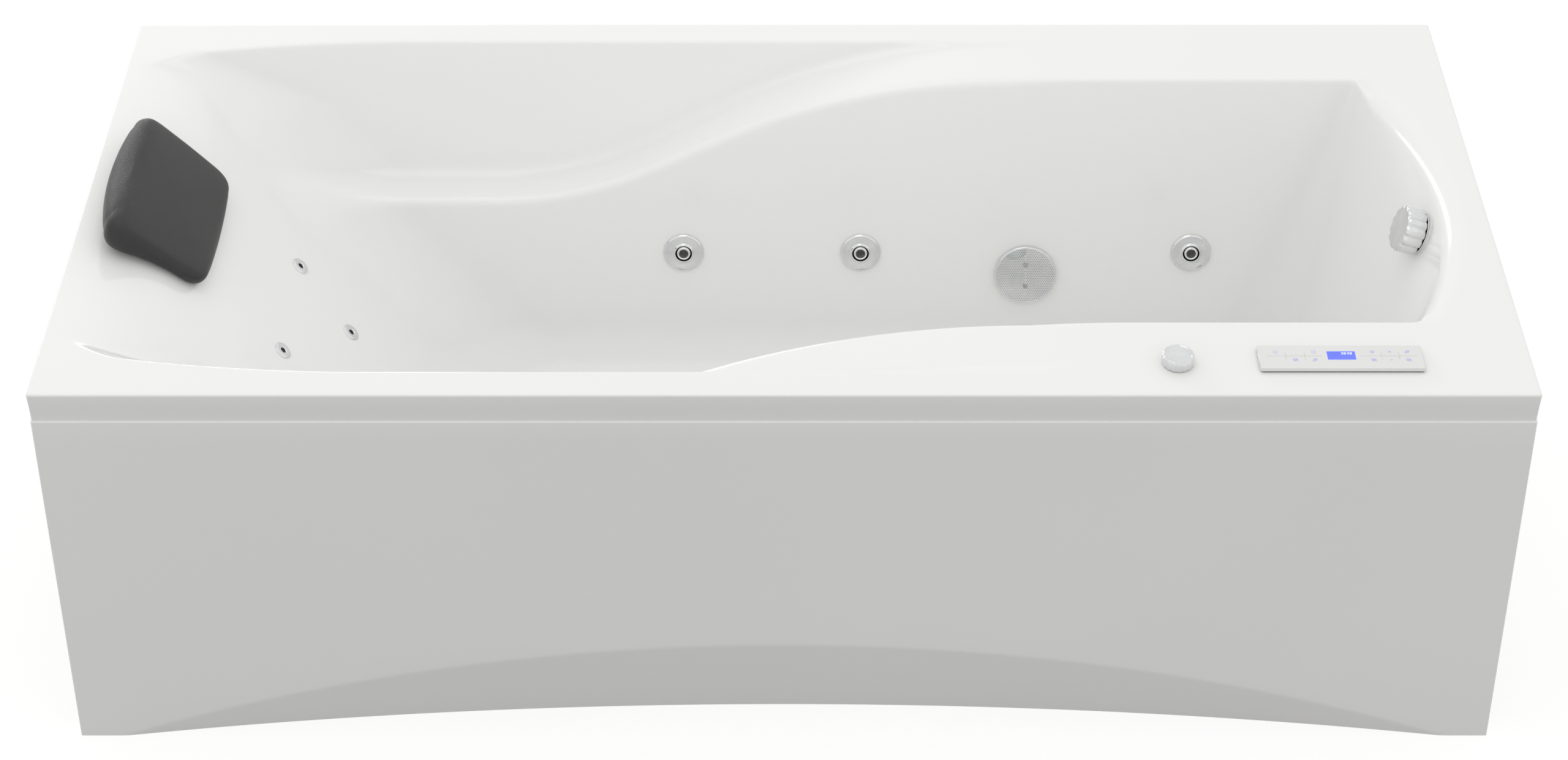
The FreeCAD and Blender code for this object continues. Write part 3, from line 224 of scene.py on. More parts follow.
# Birch board under the floor: warm and dry, with long grain.
PLYWOOD = Finish("birch_plywood", "#C9A877", "#AE8A58", 0.62, relief=0.3, relief_mm=5, patch_mm=30,
                 surface=Surface.BRUSHED)
# Glass-filled nylon mouldings: near black, with a fine dull texture.
BLACK_MOULDING = Finish("glass_filled_nylon", "#26272A", "#1B1C1E", 0.5, relief=0.08, relief_mm=1.2,
                        patch_mm=30)
# Stoved paint on the motor: dark blue-grey orange peel under a thin gloss.
MOTOR_PAINT = Finish("stove_enamel", "#2F3A46", "#27313C", 0.35, coat=0.2, relief=0.12, relief_mm=2.5,
                     patch_mm=35)
# Feet and seals: black, with almost no shine.
RUBBER = Finish("moulded_rubber", "#1C1C1C", "#141414", 0.75, relief=0.1, relief_mm=1.5, patch_mm=15)
# Blown polyethylene hose: mid grey with a waxy sheen.
GREY_HOSE = Finish("ribbed_polyethylene", "#8B8E90", "#76797B", 0.42, relief=0.05, relief_mm=2, patch_mm=30)
# Vinyl air hose: a milky blue-grey tint, wet looking.
CLEAR_HOSE = Finish("clear_vinyl_hose", "#CFDCE0", "#B9C9CF", 0.2, ior=1.45, coat=0.3, patch_mm=25)
# Control box and housings: even grey plastic with a spark-eroded grain.
GREY_MOULDING = Finish("grey_abs", "#8F9294", "#808386", 0.45, relief=0.06, relief_mm=1.1, patch_mm=40)
# Frosted lens of the underwater light: white, scattering its highlights.
LIGHT_LENS = Finish("frosted_lens", "#F4F7F8", "#E6ECEE", 0.35, ior=1.49, coat=0.3, relief=0.2, relief_mm=3,
                    patch_mm=12)
# The finish of each material slot in the record.
CAD_FINISHES: dict[str, Finish] = {
    "white_acrylic": ACRYLIC, "birch_board": PLYWOOD, "galvanised_steel": GALVANISED, "zinc_hardware": ZINC,
    "white_pvc": PVC, "polished_chrome": CHROME, "clear_hose": CLEAR_HOSE, "stainless": STAINLESS,
    "light_glass": LIGHT_LENS, "motor_paint": MOTOR_PAINT, "black_moulding": BLACK_MOULDING,
    "black_rubber": RUBBER, "grey_hose": GREY_HOSE, "control_face": PRINTED_GLASS,
    "grey_moulding": GREY_MOULDING, "pillow_skin": FOAM_SKIN,
}


# Mesh helpers -----------------------------------------------------------------------------------

def mesh_piece(name: str, points: Sequence[Sequence[float]], faces: Sequence[Sequence[int]],
               finish: Finish, smooth: bool = True) -> bpy.types.Object:
    """Make a mesh object and link it to the scene.

    Args:
        name: The piece's name.
        points: Its corners in metres.
        faces: Its faces as corner numbers.
        finish: Its material.
        smooth: Whether its faces are shaded smooth.

    Returns:
        The object.
    """
    mesh = bpy.data.meshes.new(name)
    mesh.from_pydata([tuple(p) for p in points], [], [tuple(f) for f in faces])
    mesh.validate()
    mesh.materials.append(finish.make())
    mesh.polygons.foreach_set("use_smooth", [smooth] * len(mesh.polygons))
    piece = bpy.data.objects.new(name, mesh)
    bpy.context.scene.collection.objects.link(piece)
    return piece


def in_metres(points: Iterable[Sequence[float]]) -> list[Point]:
    """Turn points in millimetres into points in metres."""
    return [tuple(c * MM for c in point) for point in points]


def settle(piece: bpy.types.Object, body: str, nodes: Iterable[str] = ()) -> bpy.types.Object:
    """Let a piece ride on a body, and let it stand for its CAD nodes."""
    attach(piece, body)
    names = list(nodes)
    if names:
        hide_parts(*names)
    return piece


def apply_modifiers(piece: bpy.types.Object) -> None:
    """Bake a piece's modifiers into its mesh."""
    graph = bpy.context.evaluated_depsgraph_get()
    baked = bpy.data.meshes.new_from_object(piece.evaluated_get(graph))
    old = piece.data
    piece.modifiers.clear()
    piece.data = baked
    baked.name = old.name
    bpy.data.meshes.remove(old)


def sharpen(piece: bpy.types.Object, degrees: float) -> None:
    """Shade a piece smooth except over edges sharper than an angle."""
    edit = bmesh.new()
    edit.from_mesh(piece.data)
    limit = math.radians(degrees)
    for edge in edit.edges:
        edge.smooth = len(edge.link_faces) != 2 or edge.calc_face_angle(0.0) < limit
    for face in edit.faces:
        face.smooth = True
    edit.to_mesh(piece.data)
    edit.free()


def clean_mesh(piece: bpy.types.Object, merge: float = 0.0, facing: Vector | None = None,
               openings: Callable[[bmesh.types.BMesh], None] | None = None) -> None:
    """Merge corners that meet, cut openings, and turn all faces one way.

    Args:
        piece: The piece whose mesh is cleaned.
        merge: Corners nearer than this many millimetres become one.
        facing: The way that most of the faces should look; outwards where it isn't given.
        openings: Takes faces away before the rest are turned.
    """
    edit = bmesh.new()
    edit.from_mesh(piece.data)
    if merge:
        bmesh.ops.remove_doubles(edit, verts=edit.verts, dist=merge * MM)
    if openings:
        openings(edit)
    bmesh.ops.recalc_face_normals(edit, faces=edit.faces)
    if facing is not None and sum(f.normal.dot(facing) * f.calc_area() for f in edit.faces) < 0:
        bmesh.ops.reverse_faces(edit, faces=edit.faces)
    edit.to_mesh(piece.data)
    edit.free()


def add_wall(piece: bpy.types.Object, thickness: float) -> None:
    """Give an acrylic sheet its wall in millimetres, with the laminate on the back."""
    piece.data.materials.append(LAMINATE.make())
    solid = piece.modifiers.new("wall", "SOLIDIFY")
    solid.thickness, solid.offset, solid.material_offset = thickness * MM, -1.0, 1
    apply_modifiers(piece)
    sharpen(piece, CRISP_EDGE)


def block(name: str, size: Vector, place: Matrix, bevel: float, finish: Finish) -> bpy.types.Object:
    """Make a block with rounded edges.

    Args:
        name: The piece's name.
        size: Its size in millimetres.
        place: Its placement in metres.
        bevel: How far its edges are rounded, in millimetres.
        finish: Its material.

    Returns:
        The object.
    """
    edit = bmesh.new()
    bmesh.ops.create_cube(edit, size=1.0)
    bmesh.ops.scale(edit, vec=size * MM, verts=edit.verts)
    bmesh.ops.bevel(edit, geom=edit.edges[:], offset=bevel * MM, segments=3, affect="EDGES")
    edit.transform(place)
    mesh = bpy.data.meshes.new(name)
    edit.to_mesh(mesh)
    edit.free()
    mesh.materials.append(finish.make())
    piece = bpy.data.objects.new(name, mesh)
    bpy.context.scene.collection.objects.link(piece)
    sharpen(piece, CRISP_EDGE)
    return piece


@dataclass
class Seat:
    """Where a turned piece sits: a point in millimetres and the direction of its own Z."""

    point: Vector
    axis: Vector

    def matrix(self) -> Matrix:
        """Return the placement in metres."""
        turn = self.axis.to_track_quat("Z", "Y").to_matrix().to_4x4()
        return Matrix.Translation(self.point * MM) @ turn


def rounded(corners: Sequence[tuple[float, float, float]], steps: int = 4) -> list[tuple[float, float]]:
    """Round the corners of a turning profile.

    Args:
        corners: Radius, height and corner radius of each point, in millimetres.
        steps: How many chords each rounded corner gets.

    Returns:
        The profile with an arc at each corner that has a radius.
    """
    out: list[tuple[float, float]] = []
    for i, (r, z, bend) in enumerate(corners):
        here = np.array([r, z])
        if bend <= 0 or i in (0, len(corners) - 1):
            out.append((r, z))
            continue
        before = np.array(corners[i - 1][:2]) - here
        after = np.array(corners[i + 1][:2]) - here
        reach_a, reach_b = np.linalg.norm(before), np.linalg.norm(after)
        cut = min(bend, 0.45 * reach_a, 0.45 * reach_b)
        start, end = here + before / reach_a * cut, here + after / reach_b * cut
        for k in range(steps + 1):
            t = k / steps
            p = (1 - t) ** 2 * start + 2 * t * (1 - t) * here + t ** 2 * end
            out.append((float(p[0]), float(p[1])))
    return out


def turned(name: str, seat: Seat, profile: Sequence[tuple[float, float]], finish: Finish,
           sides: int = 72, wave: Wave | None = None) -> bpy.types.Object:
    """Turn a profile about the seat's axis.

    Args:
        name: The piece's name.
        seat: Where it sits.
        profile: Radius and height along the outline, in millimetres, from the axis or closed on itself.
        finish: Its material.
        sides: Facets round the axis.
        wave: Gives the radius from the angle and the radius, for flutes.

    Returns:
        The object.
    """
    place = seat.matrix()
    points, faces = [], []
    for k in range(sides):
        turn = 2 * math.pi * k / sides
        for r, z in profile:
            reach = wave(turn, r) if wave else r
            points.append(place @ (Vector((reach * math.cos(turn), reach * math.sin(turn), z)) * MM))
    count = len(profile)
    for k in range(sides):
        low, high = k * count, (k + 1) % sides * count
        for i in range(count - 1):
            faces.append((low + i, high + i, high + i + 1, low + i + 1))
    piece = mesh_piece(name, points, faces, finish)
    clean_mesh(piece, merge=0.02)
    return piece


def flutes(count: int, depth: float, start: float, full: float) -> Wave:
    """Pull a knob's side in between its ribs.

    Args:
        count: How many flutes go round.
        depth: How deep they are, in millimetres.
        start: The radius where they begin.
        full: The radius from which they have their full depth.

    Returns:
        The wave that turned() takes.
    """
    def wave(turn: float, radius: float) -> float:
        side = float(ease(np.array(radius), start, full))
        return radius - depth * side * (0.5 - 0.5 * math.cos(turn * count)) ** 2

    return wave


# Tub shell --------------------------------------------------------------------------------------

Field = np.ndarray
Pair = tuple[float, float]


def inner_round(a: Field, b: Field, radius: Field | float) -> Field:
    """Meet two hollows and fillet the crease between them with a radius."""
    near = np.minimum(np.maximum(a, b), -radius)
    return near + np.hypot(np.maximum(a + radius, 0), np.maximum(b + radius, 0))


def outer_round(a: Field, b: Field, radius: Field | float) -> Field:
    """Join two hollows and round the edge between them with a radius."""
    near = np.maximum(np.minimum(a, b), radius)
    return near - np.hypot(np.maximum(radius - a, 0), np.maximum(radius - b, 0))


def ease(x: Field, low: float, high: float) -> Field:
    """Rise smoothly from 0 to 1 between two values."""
    t = np.clip((x - low) / (high - low), 0, 1)
    return t * t * (3 - 2 * t)


@dataclass
class TubShell:
    """The vacuum-formed shell: deep basin, S-shaped armrests, rolled head end, rim and skirt."""

    length: float = 1800.0
    width: float = 800.0
    rim: float = 563.0
    skirt: float = 41.0
    floor: float = 150.0
    ledge: float = 390.0
    wall_half: float = 261.0
    wall_draft: float = 13.0
    back_slope: float = 44.0
    back_x: float = -643.0
    back_roll: float = 176.0
    roll_x: float = -892.8
    roll_rise: float = 0.5
    foot_x: float = 851.0
    foot_bow: float = 494.0
    foot_draft: float = 20.0
    recess_half: float = 355.0
    recess_draft: float = 22.0
    sweep_low: float = 537.0
    sweep_high: float = 951.0
    sweep_angle: float = 24.2
    sweep_run: float = 99.0
    sweep_x: float = -400.0
    run_out: float = 0.08
    head_taper_x: float = -500.0
    head_taper: float = 3466.0
    floor_round: float = 62.0
    corner_round: float = 6.0
    ledge_round: float = 13.0
    ledge_edge: float = 9.0
    back_round: float = 24.0
    deep_round: float = 56.0
    foot_edge: float = 20.0
    rim_edge: float = 3.0
    corner: float = 4.0
    skirt_lean: float = 2.0
    wall_thickness: float = 7.0
    points_across: int = 120

    def ledge_height(self, x: Field) -> Field:
        """Height of the armrest along the tub: level, then a long S up to the rim."""
        angle = math.radians(self.sweep_angle)
        low_end = self.sweep_x + self.sweep_low * math.sin(angle)
        low_rise = self.sweep_low * (1 - math.cos(angle))
        run_end = low_end + self.sweep_run * math.cos(angle)
        run_rise = low_rise + self.sweep_run * math.sin(angle)
        high_end = run_end + self.sweep_high * math.sin(angle)
        t = np.clip(x - self.sweep_x, 0, self.sweep_low * math.sin(angle))
        rise = self.sweep_low - np.sqrt(self.sweep_low ** 2 - t ** 2)
        on_run = np.clip(x - low_end, 0, run_end - low_end) * math.tan(angle)
        top = run_rise + self.sweep_high * (1 - math.cos(angle))
        u = np.clip(high_end - x, 0, high_end - run_end)
        crown = np.sqrt(self.sweep_high ** 2 - u ** 2) - self.sweep_high + top
        height = np.where(x < low_end, rise, np.where(x < run_end, low_rise + on_run, crown))
        return self.ledge + height + self.run_out * np.maximum(x - high_end, 0)

    @cached_property
    def armrest(self) -> tuple[Field, Field, Field]:
        """Even stations along the tub, with the armrest's height and slope at each."""
        x = np.arange(-1000.0, 1000.0, 0.5)
        height = self.ledge_height(x)
        return x, height, np.gradient(height, x)

    def back_gap(self, x: Field, z: Field) -> Field:
        """Signed distance to the backrest and its roll, negative in the hollow."""
        slope = math.radians(self.back_slope)
        vx, vz = x - self.roll_x, z - (self.rim + self.roll_rise - self.back_roll)
        turn = np.arctan2(vx, vz)
        flat = vx * math.sin(slope) + vz * math.cos(slope)
        reach = np.where(turn > slope, flat, np.where(turn < 0, vz, np.hypot(vx, vz)))
        return self.back_roll - reach

    def foot_gap(self, x: Field, y: Field, z: Field) -> Field:
        """Signed distance to the bowed foot wall, negative in the hollow."""
        lean = math.radians(self.foot_draft)
        cx = self.foot_x - self.foot_bow - (self.rim - z) * math.tan(lean)
        bowed = np.hypot(np.maximum(x - cx, 0), y) - self.foot_bow
        return np.where(x > cx, bowed, x - cx - self.foot_bow) * math.cos(lean)

    def hollow(self, x: Field, y: Field, z: Field) -> Field:
        """Signed distance-like field of the air in the tub: negative inside it."""
        side = np.abs(y)
        draft = math.radians(self.wall_draft)
        wall = (side - self.wall_half + (self.rim - z) * math.tan(draft)) * math.cos(draft)
        depth = np.clip((self.rim - z) / (self.rim - self.floor), 0, 1)
        basin = inner_round(wall, self.foot_gap(x, y, z), self.corner_round + self.deep_round * depth ** 1.2)
        basin = inner_round(basin, self.floor - z, self.floor_round)
        draft = math.radians(self.recess_draft)
        taper = np.minimum(x - self.head_taper_x, 0) ** 2 / self.head_taper
        recess_wall = (side + taper - self.recess_half + (self.rim - z) * math.tan(draft)) * math.cos(draft)
        stations, heights, slopes = self.armrest
        height, slope = np.interp(x, stations, heights), np.interp(x, stations, slopes)
        ledge = (height - z) / np.sqrt(1 + slope ** 2)
        recess = inner_round(recess_wall, ledge, self.ledge_round)
        air = outer_round(basin, recess, self.ledge_edge)
        back_fillet = self.back_round + self.deep_round * ease(self.rim - z, 0, 90)
        air = inner_round(air, self.back_gap(x, z), back_fillet)
        soft = self.rim_edge + self.foot_edge * ease(x, 775, 800)
        soft = 0.5 + (soft - 0.5) * ease(x, -880, -780)
        return outer_round(air, self.rim - z, soft)

    def surface_height(self, x: Field, y: Field) -> Field:
        """Height of the shell's top surface over each point, found by halving."""
        low = np.full_like(x, self.floor - 2)
        high = np.full_like(x, self.rim + 2)
        for _ in range(26):
            middle = (low + high) / 2
            in_air = self.hollow(x, y, middle) < 0
            high = np.where(in_air, middle, high)
            low = np.where(in_air, low, middle)
        return np.minimum((low + high) / 2, self.rim)

    def stations(self) -> list[tuple[Pair, Pair, Pair]]:
        """Rays round the tub: for each, an inner point, a rim point and the rim's outward direction."""
        half_x, half_y, inset = self.length / 2, self.width / 2, self.corner
        head, foot = -300.0, 560.0
        rays = []

        def corner_arc(cx: float, cy: float, start: float) -> list[tuple[float, float, float, float]]:
            turns = [math.radians(start + 90 * k / 6) for k in range(7)]
            return [(cx + inset * math.cos(t), cy + inset * math.sin(t), math.cos(t), math.sin(t))
                    for t in turns]

        def line(a: Pair, b: Pair, step: float, out: Pair) -> list[tuple[float, float, float, float]]:
            count = max(int(math.dist(a, b) / step), 1)
            return [(a[0] + (b[0] - a[0]) * k / count, a[1] + (b[1] - a[1]) * k / count, *out)
                    for k in range(1, count)]

        rim = line((half_x, -half_y + inset), (half_x, half_y - inset), 8.0, (1, 0))
        rim += corner_arc(half_x - inset, half_y - inset, 0)
        rim += line((half_x - inset, half_y), (-half_x + inset, half_y), 9.0, (0, 1))
        rim += corner_arc(-half_x + inset, half_y - inset, 90)
        rim += line((-half_x, half_y - inset), (-half_x, -half_y + inset), 8.0, (-1, 0))
        rim += corner_arc(-half_x + inset, -half_y + inset, 180)
        rim += line((-half_x + inset, -half_y), (half_x - inset, -half_y), 9.0, (0, -1))
        rim += corner_arc(half_x - inset, -half_y + inset, 270)
        for x, y, ox, oy in rim:
            share = (x + half_x) / self.length
            centre = head + (foot - head) * min(max((share - 0.02) / 0.96, 0), 1)
            rays.append(((centre, 0.0), (x, y), (ox, oy)))
        return rays

    def profiles(self) -> np.ndarray:
        """Points of every ray from the rim inwards, spread by length and by turning."""
        samples, kept = 1500, self.points_across
        rays = self.stations()
        table = np.zeros((len(rays), kept, 3))
        share = np.linspace(0, 1, samples)
        for row, (inner, outer, out) in enumerate(rays):
            start = np.array(outer) - np.array(out) * self.rim_edge
            x = start[0] + (inner[0] - start[0]) * share
            y = start[1] + (inner[1] - start[1]) * share
            z = self.surface_height(x, y)
            run = np.hypot(np.diff(x), np.diff(y))
            rise = np.diff(z)
            angle = np.arctan2(rise, run)
            bend = np.abs(np.diff(angle, prepend=angle[0]))
            weight = np.hypot(run, rise) + 28.0 * bend
            weight = np.convolve(np.pad(weight, 10, mode="edge"), np.ones(21) / 21, mode="valid")
            total = np.concatenate([[0], np.cumsum(weight)])
            marks = np.linspace(0, total[-1], kept)
            pick = np.interp(marks, total, share)
            px = start[0] + (inner[0] - start[0]) * pick
            py = start[1] + (inner[1] - start[1]) * pick
            table[row] = np.stack([px, py, self.surface_height(px, py)], axis=1)
        return table

    def build(self) -> bpy.types.Object:
        """Build the shell's mesh from its profiles, its rim edge and its skirt."""
        rays, inside = self.stations(), self.profiles()
        edge_steps, points, faces = 5, [], []
        bottom = self.rim - self.skirt
        for row, (_inner, outer, out) in enumerate(rays):
            low = [outer[k] - out[k] * self.skirt_lean for k in (0, 1)]
            ring = [(low[0], low[1], bottom),
                    ((low[0] + outer[0]) / 2, (low[1] + outer[1]) / 2, (bottom + self.rim) / 2)]
            for k in range(edge_steps):
                turn = math.pi / 2 * k / edge_steps
                reach = self.rim_edge * (1 - math.cos(turn))
                ring.append((outer[0] - out[0] * reach, outer[1] - out[1] * reach,
                             self.rim - self.rim_edge * (1 - math.sin(turn))))
            points += ring + [tuple(p) for p in inside[row]]
        count = edge_steps + 2 + self.points_across
        for row in range(len(rays)):
            here, there = row * count, (row + 1) % len(rays) * count
            faces += [(here + i, there + i, there + i + 1, here + i + 1) for i in range(count - 1)]
        piece = mesh_piece("tub_shell_surface", in_metres(points), faces, ACRYLIC)
        clean_mesh(piece, merge=0.15, facing=Vector((0, 0, 1)), openings=self.open_holes)
        add_wall(piece, self.wall_thickness)
        return settle(piece, TUB, ["tub_shell"])

    def open_holes(self, edit: bmesh.types.BMesh) -> None:
        """Remove the shell where a fitting passes through it, hidden under the fitting's flange."""
        seats = [(seat, 21.0) for seat in JETS.values()]
        seats += [(OVERFLOW, 24.0), (DRAIN, 24.0), (SUCTION, 34.0)]
        gone = []
        for face in edit.faces:
            centre = face.calc_center_median() / MM
            for seat, radius in seats:
                away = centre - seat.point
                if away.length < radius and abs(away.dot(seat.axis)) < 12:
                    gone.append(face)
                    break
        bmesh.ops.delete(edit, geom=gone, context="FACES")


def wall_seat(x: float, z: float, side: int) -> Seat:
    """The place of a fitting on the basin's drafted side wall."""
    shell = TubShell()
    draft = math.radians(shell.wall_draft)
    half = shell.wall_half - (shell.rim - z) * math.tan(draft)
    return Seat(Vector((x, side * half, z)), Vector((0, -side * math.cos(draft), math.sin(draft))))


def back_seat(y: float, z: float) -> Seat:
    """The place of a fitting on the backrest."""
    shell = TubShell()
    slope = math.radians(shell.back_slope)
    x = shell.back_x - (z - shell.ledge) / math.tan(slope)
    return Seat(Vector((x, y, z)), Vector((math.sin(slope), 0, math.cos(slope))))


def foot_seat(z: float) -> Seat:
    """The place of a fitting on the middle of the foot wall."""
    shell = TubShell()
    lean = math.radians(shell.foot_draft)
    x = shell.foot_x - (shell.rim - z) * math.tan(lean)
    return Seat(Vector((x, 0, z)), Vector((-math.cos(lean), 0, math.sin(lean))))


JETS: dict[str, Seat] = {f"{place}_{side_name}": wall_seat(x, 313.0, side)
                         for side_name, side in (("wall_side", 1), ("front_side", -1))
                         for place, x in (("head", -139.0), ("middle", 106.0), ("foot", 564.0))}
BACK_JETS: list[Seat] = [back_seat(67.0, 394.0), back_seat(-110.0, 394.0), back_seat(10.0, 327.0)]
OVERFLOW = foot_seat(500.0)
DRAIN = Seat(Vector((555.0, 0.0, 150.0)), Vector((0, 0, 1)))
SUCTION = wall_seat(335.0, 282.0, 1)
UNDERWATER_LIGHT = wall_seat(335.0, 282.0, -1)


# Front panel ------------------------------------------------------------------------------------

@dataclass
class FrontPanel:
    """The pressed front panel with its bevelled edges and the arched toe recess."""

    half: float = 899.0
    height: float = 521.9
    front: float = -400.0
    depth: float = 27.0
    edge: float = 2.0
    arch_half: float = 840.0
    arch_rise: float = 156.5
    arch_depth: float = 55.0
    arch_bend: float = 5.0
    fold: float = 8.0
    thickness: float = 4.0

    def crease(self, x: float) -> float:
        """Height of the crease line above the floor."""
        radius = (self.arch_half ** 2 + self.arch_rise ** 2) / (2 * self.arch_rise)
        if abs(x) >= self.arch_half:
            return 0.0
        return math.sqrt(radius ** 2 - x ** 2) - radius + self.arch_rise

    def plan(self) -> list[tuple[float, float, float]]:
        """Columns along the panel: x, y and how much of the column is front face."""
        columns = [(-self.half, self.front + self.depth, 0.0),
                   (-self.half, self.front + self.edge + self.fold, 0.0)]
        for k in range(7):
            turn = math.pi / 2 * k / 6
            columns.append((-self.half + self.edge * (1 - math.cos(turn)),
                            self.front + self.edge * (1 - math.sin(turn)), k / 6))
        inner = self.half - self.edge
        span = [-inner + 2 * inner * k / 150 for k in range(1, 150)]
        mirrored = [(-x, y, share) for x, y, share in reversed(columns)]
        return columns + [(x, self.front, 1.0) for x in span] + mirrored

    def column(self, x: float, y: float, share: float) -> list[Point]:
        """Points of one column from the top return down to the floor."""
        top, points = self.height, []
        points.append((x, y + (self.depth - self.edge) * share, top))
        for k in range(7):
            turn = math.pi / 2 * k / 6
            points.append((x, y + self.edge * share * (1 - math.sin(turn)),
                           top - self.edge * (1 - math.cos(turn))))
        crease = self.crease(x)
        lean = self.arch_depth / self.arch_rise
        rows = 14
        low = max(crease - self.arch_bend, 0)
        high = min(crease + self.arch_bend, top - 60)
        for k in range(1, rows + 1):
            z = (top - self.edge) + (high - top + self.edge) * k / rows
            points.append((x, y, z))
        for k in range(1, 7):
            t = k / 6
            z = high + (low - high) * t
            back = lean * max(crease - low, 0) * t * t
            points.append((x, y + back, z))
        for k in range(1, 6):
            z = low * (1 - k / 5)
            points.append((x, y + lean * (crease - z) if crease > 0 else y, z))
        return points

    def build(self) -> bpy.types.Object:
        """Build the panel and give it its wall thickness."""
        columns = [self.column(*place) for place in self.plan()]
        count = len(columns[0])
        points = in_metres(p for column in columns for p in column)
        faces = [(k * count + i, k * count + i + 1, (k + 1) * count + i + 1, (k + 1) * count + i)
                 for k in range(len(columns) - 1) for i in range(count - 1)]
        # The panel sheet takes the acrylic painted lighter, painted light for the shade on its front.
        piece = mesh_piece("front_panel_sheet", points, faces, LIGHTENED_PANEL_ACRYLIC)
        clean_mesh(piece, merge=0.1, facing=Vector((0, -1, 0)))
        add_wall(piece, self.thickness)
        return settle(piece, TUB, ["front_panel"])


# Fittings ---------------------------------------------------------------------------------------

class JetFittings:
    """The chrome side jets, back jets, suction cover and underwater light."""

    def build(self) -> list[bpy.types.Object]:
        """Build every fitting of the jet system that shows in the basin."""
        pieces = []
        rings = []
        for name, seat in JETS.items():
            rings.append(self.ring(name, seat))
            pieces.append(self.ball(name, seat))
        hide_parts("jet_rings")
        smalls = [self.back_jet(number, seat) for number, seat in enumerate(BACK_JETS)]
        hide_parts("back_jets")
        return pieces + rings + smalls + self.suction() + self.light()

    def ring(self, name: str, seat: Seat) -> bpy.types.Object:
        """A dished flange: rolled outer edge, hollow dish, raised lip round the ball."""
        profile = rounded([(19.4, -9, 0), (19.4, 0.1, 0), (27.6, 0.1, 0.4), (27.9, 1.6, 1.6),
                           (26.0, 4.4, 2.6), (21.0, 3.6, 3.0), (14.6, 2.2, 2.5), (12.9, 4.6, 1.2),
                           (11.4, 4.8, 0.9), (11.9, 0.5, 1), (12.2, -2, 1), (10.9, -8.8, 0),
                           (19.4, -9, 0)])
        return settle(turned(f"jet_flange_{name}", seat, profile, CHROME), TUB)

    def ball(self, name: str, seat: Seat) -> bpy.types.Object:
        """The swivelling eyeball with its rounded mouth and dark bore."""
        radius, sunk = 11.4, -2
        arc = [(radius * math.cos(t), sunk + radius * math.sin(t))
               for t in np.radians(np.linspace(-40, 38, 12))]
        lip = rounded([(*arc[-1], 0), (8.4, 5.6, 0.8), (6.6, 5.3, 1.0), (6.0, 3.6, 0.5), (6.0, 2, 0)])
        ball = turned(f"jet_ball_{name}", seat, arc + lip[1:], CHROME, 56)
        throat = [(6.0, 2), (5.8, -3), (5.6, -9.2), (0.01, -9.2)]
        bore = turned(f"jet_bore_{name}", seat, throat, DARK_BORE, 40)
        body = f"jet_nozzle_{name}"
        settle(ball, body, [body])
        settle(bore, body)
        return ball

    def back_jet(self, number: int, seat: Seat) -> bpy.types.Object:
        """A small domed back jet, its hole drawn as a black disc of painted shade."""
        profile = rounded([(9.2, -20, 0), (9.2, 0, 0), (12.3, 0, 0.3), (12.6, 1.5, 0.8), (9.8, 2.8, 1.2),
                           (4.6, 2.7, 0.8), (3.4, 1.2, 0)])
        piece = settle(turned(f"back_jet_{number}", seat, profile, CHROME, 48), TUB)
        throat = [(3.6, 1.9), (3.5, 1.3), (0.01, 1.25)]
        # Painted shade: a shallow black disc fills the jet's mouth in place of the dark hole.
        hole = turned(f"back_jet_hole_{number}", seat, throat, PAINTED_HOLE_SHADE, 24)
        settle(hole, TUB)
        return piece

    def suction(self) -> list[bpy.types.Object]:
        """The suction drum: rounded edge, finely drilled face, blank rib with two screws."""
        profile = rounded([(38.5, 0.1, 0), (42.8, 0.1, 0.3), (42.9, 5.4, 1.0), (41.9, 7.2, 1.6),
                           (40.4, 7.3, 0.4), (40.2, 7.0, 0)])
        edge = turned("suction_edge", SUCTION, profile, CHROME)
        settle(edge, TUB, ["suction_cover"])
        face = turned("suction_face", SUCTION,
                      [(40.3, 7.1), (30, 7.6), (20, 7.8), (10, 7.9), (0.01, 7.95)], CHROME)
        face.data.materials[0] = drilled_chrome()
        settle(face, TUB)
        rib = self.rib()
        heads = []
        for end in (-1, 1):
            across = Vector((1, 0, 0)).cross(SUCTION.axis) * (16.0 * end)
            seat = Seat(SUCTION.point + across, SUCTION.axis)
            profile = rounded([(3.3, 8.5, 0), (3.3, 9.6, 0.5), (1.6, 9.9, 0.3), (1.5, 9.1, 0),
                               (0.01, 9.1, 0)])
            head = turned(f"suction_screw_{end + 1}", seat, profile, STAINLESS, 24)
            heads.append(settle(head, TUB))
        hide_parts("suction_screws")
        return [edge, face, rib, *heads]

    def rib(self) -> bpy.types.Object:
        """The blank strip down the middle of the suction face."""
        along = Vector((1, 0, 0))
        turn = Matrix((along, SUCTION.axis.cross(along), SUCTION.axis)).transposed().to_4x4()
        place = Matrix.Translation(SUCTION.point * MM) @ turn @ Matrix.Translation((0, 0, 7.6 * MM))
        piece = block("suction_rib", Vector((3.2, 62.0, 1.4)), place, 0.7, CHROME)
        return settle(piece, TUB)

    def light(self) -> list[bpy.types.Object]:
        """The underwater light: a chrome bezel and a ribbed, frosted lens."""
        seat = UNDERWATER_LIGHT
        profile = rounded([(23.5, -20, 0), (23.5, 0.1, 0), (29.4, 0.1, 0.4), (29.8, 1.6, 1.2),
                           (27.6, 4.2, 2.0), (22.0, 4.0, 1.2), (21.2, 1.0, 0)])
        bezel = turned("light_ring", seat, profile, CHROME)
        settle(bezel, TUB, ["light_bezel"])
        dome = [(21.3, 1.2), (18, 2.2), (12, 3.2), (6, 3.8), (0.01, 4.0)]
        glass = turned("light_glass", seat, dome, LIGHT_LENS)
        settle(glass, TUB, ["light_lens"])
        return [bezel, glass]


